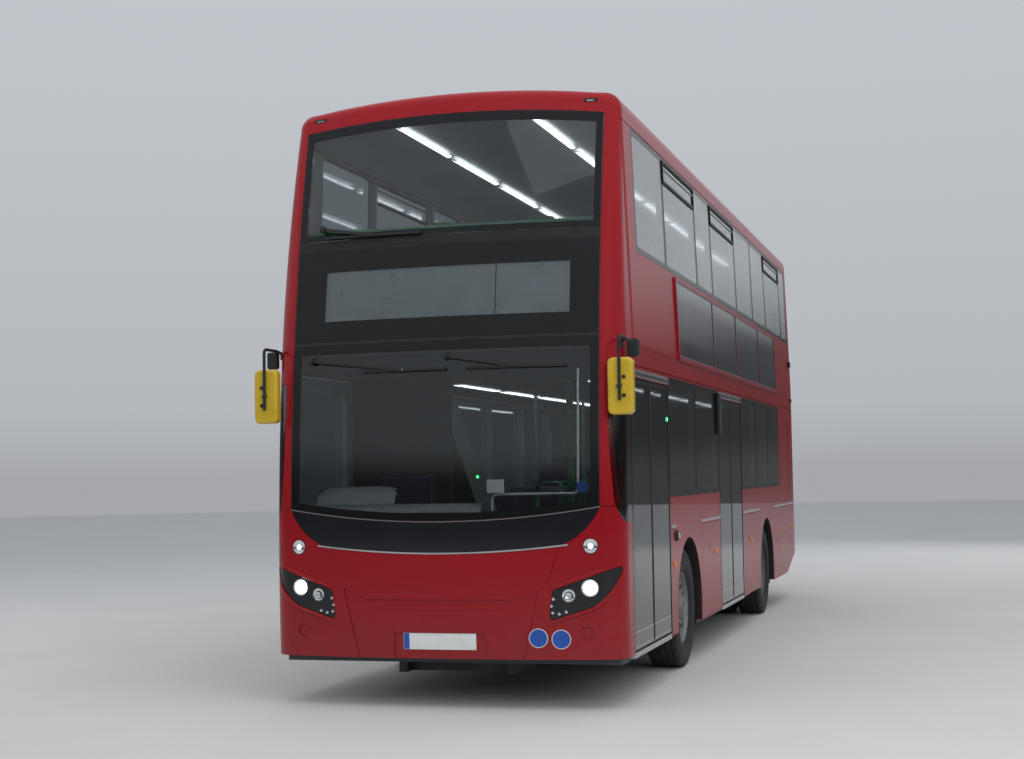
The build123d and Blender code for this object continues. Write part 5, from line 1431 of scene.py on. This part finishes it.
def extruded(points, x0, x1):
    """A closed outline in (y, z) drawn out along X, with its ends capped."""
    n = len(points)
    verts = [Vector((x, y, z)) for x in (x0, x1) for y, z in points]
    return verts, quads(2, n, closed=True) + [tuple(range(n - 1, -1, -1)), tuple(range(n, 2 * n))]


def seat_shell(x, y, z, half):
    """Shell from under the base, up the back, over its top and down behind."""
    return extruded([(y + dy, z + dz) for dy, dz in SHELL_SECTION], x - half, x + half)


def seat_pair(x, y, base_z, pedestal):
    """Two places side by side: their pads, their shells with a pedestal, and a grab rail."""
    pads, shells = [], []
    z = base_z + SEAT_Z
    for dx in (-PLACE_X, PLACE_X):
        pads.append(placed(base_pad, (x + dx, y + BASE_AT[0], z + BASE_AT[1]), BASE_TILT))
        pads.append(placed(back_pad, (x + dx, y + BACK_AT[0], z + BACK_AT[1]), math.pi / 2 - SEAT_BACK_LEAN))
        shells.append(seat_shell(x + dx, y, z, SHELL_HALF))
    if pedestal:
        w, d = PEDESTAL_HALF
        shells.append(bar(x - w, x + w, y - d, y + d, base_z + 0.0005, z))
    way = 1 if x > 0 else -1
    aisle = x - way * RAIL_X
    route = [(aisle + way * dx, y + dy, z + dz) for dx, dy, dz in GRAB_RAIL]
    return pads, shells, [tube(bent(route, 0.035, 3), 0.012, 8)]


upper_set = [(x, y, DECK_Z, True) for x in (UPPER_SEAT_X, -UPPER_SEAT_X) for y in UPPER_ROWS
             if x > 0 or not STAIR_Y[0] - 0.300 < y < STAIR_Y[1]]
lower_set = [(x, y, z, p) for where, y, z, p in LOWER_ROWS for x in (LOWER_SEAT_X, -LOWER_SEAT_X)
             if where == "both" or (where == "near") == (x > 0)]
for deck, rows in (("upper", upper_set), ("lower", lower_set)):
    pads, shells, rails = (sum(group, []) for group in zip(*(seat_pair(*row) for row in rows)))
    soft = piece_from(f"seat_pads_{deck}", pads, moquette)
    hard = piece_from(f"seat_shells_{deck}", shells, grey_plastic)
    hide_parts(f"seats_{deck}")
    piece_from(f"seat_rails_{deck}", rails, green_rail)
    print(deck, "seats", 2 * len(rows), "pad triangles", 2 * len(soft.data.polygons))

# %% [markdown]
# The driver's seat has thicker pads on the same kind of shell, on a box pedestal.

# %% Driver's seat
DRIVER = Vector((-0.700, -4.080, 0.900))
DRIVER_BASE, DRIVER_BACK, DRIVER_CELL = (0.46, 0.44, 0.085), (0.46, 0.60, 0.08), 0.02
DRIVER_HALF, COLUMN_HALF, FOOT_HALF = 0.22, 0.12, 0.20
driver_base = blown("driver_base_blank", DRIVER_BASE, DRIVER_CELL)
driver_back = blown("driver_back_blank", DRIVER_BACK, DRIVER_CELL)
driver_pads = [placed(driver_base, DRIVER + Vector((0, -0.04, 0.045)), math.radians(2)),
               placed(driver_back, DRIVER + Vector((0, 0.165, 0.40)), math.pi / 2 - SEAT_BACK_LEAN)]
driver_soft = piece_from("driver_pads", driver_pads, moquette)
column_y = (DRIVER.y - COLUMN_HALF, DRIVER.y + COLUMN_HALF)
driver_hard = piece_from("driver_shell", [
    seat_shell(*DRIVER, DRIVER_HALF),
    bar(DRIVER.x - COLUMN_HALF, DRIVER.x + COLUMN_HALF, *column_y, 0.355, DRIVER.z),
    bar(DRIVER.x - FOOT_HALF, DRIVER.x + FOOT_HALF, *column_y, 0.3505, 0.42)], black_plastic,
    bevel=0.006)
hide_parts("driver_seat")
print("driver's pad faces", len(driver_soft.data.polygons))

# %% [markdown]
# Steps. Every tread of the stair and the sill of each door has a yellow nosing, and the treads
# carry dark ribbed rubber.

# %% Nosings
STEP_COUNT, RIB_COUNT, RIB_PITCH, SILL_X = 9, 9, 0.022, (1.160, 1.205)
step_rise, step_run = (DECK_Z - FLOOR_Z) / STEP_COUNT, (STAIR_Y[1] - STAIR_Y[0]) / (STEP_COUNT - 1)
step_x = (STAIR_X[0] + 0.01, STAIR_X[1] - 0.01)
nosings, treads = [], []
for i in range(STEP_COUNT - 1):
    y, z = STAIR_Y[1] - i * step_run, FLOOR_Z + (i + 1) * step_rise
    nosings.append(bar(*step_x, y - 0.030, y + 0.0025, z + 0.0003, z + 0.0030))
    nosings.append(bar(*step_x, y + 0.0003, y + 0.0028, z - 0.026, z + 0.0004))
    for k in range(RIB_COUNT):
        rib = y - 0.048 - k * RIB_PITCH
        treads.append(bar(*step_x, rib - 0.007, rib + 0.007, z + 0.0003, z + 0.0024))
sill_yellow = finish("sill_yellow", (0.62, 0.42, 0.03), 0.45, patch=14, vary=0.18, grain=260, bump=0.08)
for y0, y1 in DOORS.values():
    nosings.append(bar(*SILL_X, y0 + 0.03, y1 - 0.03, FLOOR_Z + 0.0003, FLOOR_Z + 0.0028))
piece_from("nosings", nosings, sill_yellow, smooth=False)
piece_from("tread_ribs", treads, deck_rubber, smooth=False)
print("nosings", len(nosings), "ribs", len(treads))

# %% [markdown]
# Bell pushes sit on the poles of the lower deck, and a flange holds each pole at both ends.

# %% Bell pushes
POLES = ((0.500, -3.390), (0.430, -3.215), (0.500, -1.030), (0.500, 0.690), (-0.430, -1.010), (-0.330, 0.480),
         (-0.330, 1.130))
BELL_Z, POLE_ENDS = 1.450, ((0.3512, 1), (2.3300, -1))
BOX_PROFILE = ((-0.024, 0.0165), (-0.020, 0.0215), (0.020, 0.0215), (0.024, 0.0165))
PUSH_PROFILE = ((0.0200, 0.013), (0.026, 0.012), (0.028, 0.008), (0.0285, 0.001))
CUP_PROFILE = ((0, 0.044), (0.004, 0.044), (0.010, 0.030), (0.024, 0.0180))
box, push = (lathe(profile, 16, Vector()) for profile in (BOX_PROFILE, PUSH_PROFILE))
cup = lathe(CUP_PROFILE, 20, Vector())
boxes = [([Vector((x + v.y, y + v.z, BELL_Z + v.x)) for v in box[0]], box[1]) for x, y in POLES]
buttons = [([Vector((x + v.y, y - v.x, BELL_Z + v.z)) for v in push[0]], push[1]) for x, y in POLES]
flanges = [([Vector((x + v.y, y + v.z * way, z + way * v.x)) for v in cup[0]], cup[1])
           for x, y in POLES for z, way in POLE_ENDS]
piece_from("bell_boxes", boxes, black_plastic)
piece_from("pole_flanges", flanges, bright_trim)
piece_from("bell_buttons", buttons, red_lens)
print("poles", len(POLES))

# %% [markdown]
# The cab. A pale tray lies on the dashboard under the screen and a hood stands over the dials.
# A card, a round sticker and a grey rail show through the windscreen as well.

# %% Cab details
DASH_Z, HOOD_X, HOOD_FOOT_Z, HOOD_DROP = 1.331, (-1.010, -0.430), 1.32, 0.035
CARD, STICKER = (0.335, 0.455, 1.462, 1.552), (1.000, 1.495, 0.040)
LED_AT, LED_STEPS = (0.270, 1.572), ((0.011, 0), (0.009, 0.004), (0.003, 0.005))
STEERING_AT, SWITCH_DX, SWITCH = (-0.70, -4.50, 1.258), 0.1, ((-0.006, 0.010), (0, 0.016), (0.006, 0.010))
TRAY_X, TRAY_STEPS, HOOD_STEPS, SCREEN_BACK = (-1.08, 0.28), 24, 16, 0.060
TRAY_SECTION = ((0.085, 0.0), (0.096, 0.030), (0.125, 0.050), (0.230, 0.058), (0.290, 0.044))
HOOD_SECTION = ((-4.945, 1.322), (-4.935, 1.400), (-4.900, 1.470), (-4.850, 1.502), (-4.790, 1.508),
                (-4.745, 1.492), (-4.735, 1.478), (-4.745, 1.470))
SCREEN_RAIL = ((0.950, 2.300), (0.950, 1.450), (0.360, 1.450), (0.360, 1.340))
tray_x = [TRAY_X[0] + (TRAY_X[1] - TRAY_X[0]) * i / TRAY_STEPS for i in range(TRAY_STEPS + 1)]
tray_verts = [Vector((x, front_skin(x, DASH_Z).y + d, DASH_Z + h)) for d, h in TRAY_SECTION for x in tray_x]
piece_from("dash_tray", [(tray_verts, quads(len(TRAY_SECTION), len(tray_x)))], pale_trim,
           thick=0.0015)
hood_verts = []
for i in range(HOOD_STEPS + 1):
    t = i / HOOD_STEPS
    x = HOOD_X[0] - 0.006 + (HOOD_X[1] - HOOD_X[0] + 0.012) * t
    drop = HOOD_DROP * abs(2 * t - 1) ** 6
    hood_verts += [Vector((x, y, z + 0.004 - drop * (z - HOOD_FOOT_Z) / 0.18)) for y, z in HOOD_SECTION]
piece_from("dial_hood", [(hood_verts, quads(HOOD_STEPS + 1, len(HOOD_SECTION), flip=True))], pale_trim,
           thick=0.003)
card = grid_mesh(*CARD, 4, 4, on_front(-SCREEN_BACK - 0.004))
piece_from("screen_card", [card], plate_white, thick=0.0006)
sticker = disc_mesh(*STICKER, on_front(-0.0078))
piece_from("screen_sticker", [sticker], sign_blue, thick=0.0003)
rail_route = [front_skin(x, z, -SCREEN_BACK - 0.05) for x, z in SCREEN_RAIL]
piece_from("screen_rail", [tube(bent(rail_route, 0.04), 0.011)], bright_trim)
piece_from("cab_led", [lamp_rings(*LED_AT, LED_STEPS, -SCREEN_BACK - 0.006)], led_green)
switches = [lathe(SWITCH, 12, Vector(STEERING_AT) + Vector((dx, 0, 0))) for dx in (-SWITCH_DX, SWITCH_DX)]
piece_from("wheel_switches", switches, grey_plastic)
print("pieces so far", len(made))

# %% [markdown]
# Mirrors. The glass sits in the rear face of each yellow shell, behind a thin black rim.

# %% Mirror glass
SHELL_X, SHELL_Y, SHELL_Z = (1.197, 1.372), (-5.205, -5.137), (1.972, 2.356)
mirror_glass = finish("mirror_glass", (0.82, 0.84, 0.86), 0.04, metallic=1, patch=3, vary=0.02,
                      rough_vary=0.02, grain=4, bump=0.002)


def on_shell(side, lift):
    """The rear face of a mirror shell."""
    return lambda u, z: Vector((side * u, SHELL_Y[1] + lift, z))


def shell_loop(dx, dz, r):
    return rounded_loop(SHELL_X[0] + dx, SHELL_X[1] - dx, SHELL_Z[0] + dz, SHELL_Z[1] - dz, r)


for side, word in SIDES:
    face = grid_mesh(SHELL_X[0] + 0.016, SHELL_X[1] - 0.016, SHELL_Z[0] + 0.018, SHELL_Z[1] - 0.018, 6, 10,
                     on_shell(side, 0.0012))
    piece_from(f"mirror_glass_{word}", [face], mirror_glass, thick=0.0008 * side)
    rim = ring_mesh(shell_loop(0.008, 0.008, 0.03), shell_loop(0.018, 0.020, 0.02), on_shell(side, 0.0008))
    piece_from(f"mirror_rim_{word}", [rim], black_plastic, thick=0.003 * side)
print("points of a rim", len(rim[0]))

# %% [markdown]
# Each mirror arm ends in a clamp with two screws on the front face of its shell.

# %% Mirror clamps
SCREW_X, SCREW_Z = 1.312, (2.100, 2.225)
SCREW = ((0.013, 0.0), (0.013, 0.006), (0.009, 0.009), (0.001, 0.009))
for side, word in SIDES:
    screws = [turned_on(SCREW_X, z, SCREW, lambda u, v, h: Vector((side * u, SHELL_Y[0] - 0.0003 - h, v)), 16)
              for z in SCREW_Z]
    piece_from(f"mirror_screws_{word}", screws, black_plastic)
print("pieces so far", len(made))

# %% [markdown]
# Wipers. The offside arm is bare light metal in the photograph, and each blade holds a rubber.

# %% Wiper details
ARM_FACE = ((-0.9645, 2.400), (-0.9635, 2.420), (-0.248, 2.3265), (-0.252, 2.3175))
BLADES = ((-0.560, 0.060, 2.320), (0.200, 0.900, 2.322), (-0.900, -0.156, 3.298))
PIVOTS = ((-0.964, 2.410), (0.056, 2.412), (-0.919, 3.362))
CAP_STEPS = ((0.020, 0), (0.019, 0.006), (0.012, 0.010), (0.002, 0.011))
ARM_LIFT, SPINE_LIFT, CAP_LIFT = 0.0346, 0.0263, 0.0402
arm_top = [front_skin(x, z, ARM_LIFT) for x, z in ARM_FACE]
piece_from("wiper_arm_face", [(arm_top, [(0, 1, 2, 3)])], bright_trim, thick=0.0008)
spines = [grid_mesh(x0 + 0.01, x1 - 0.01, zz - 0.002, zz + 0.002, 24, 1, on_front(SPINE_LIFT))
          for x0, x1, z in BLADES for zz in (z - 0.0045, z + 0.0045)]
piece_from("wiper_spines", spines, black_plastic, thick=0.0015)
pivot_caps = [lamp_rings(x, z, CAP_STEPS, CAP_LIFT) for x, z in PIVOTS]
piece_from("wiper_caps", pivot_caps, black_plastic)
print("pieces", len(made))
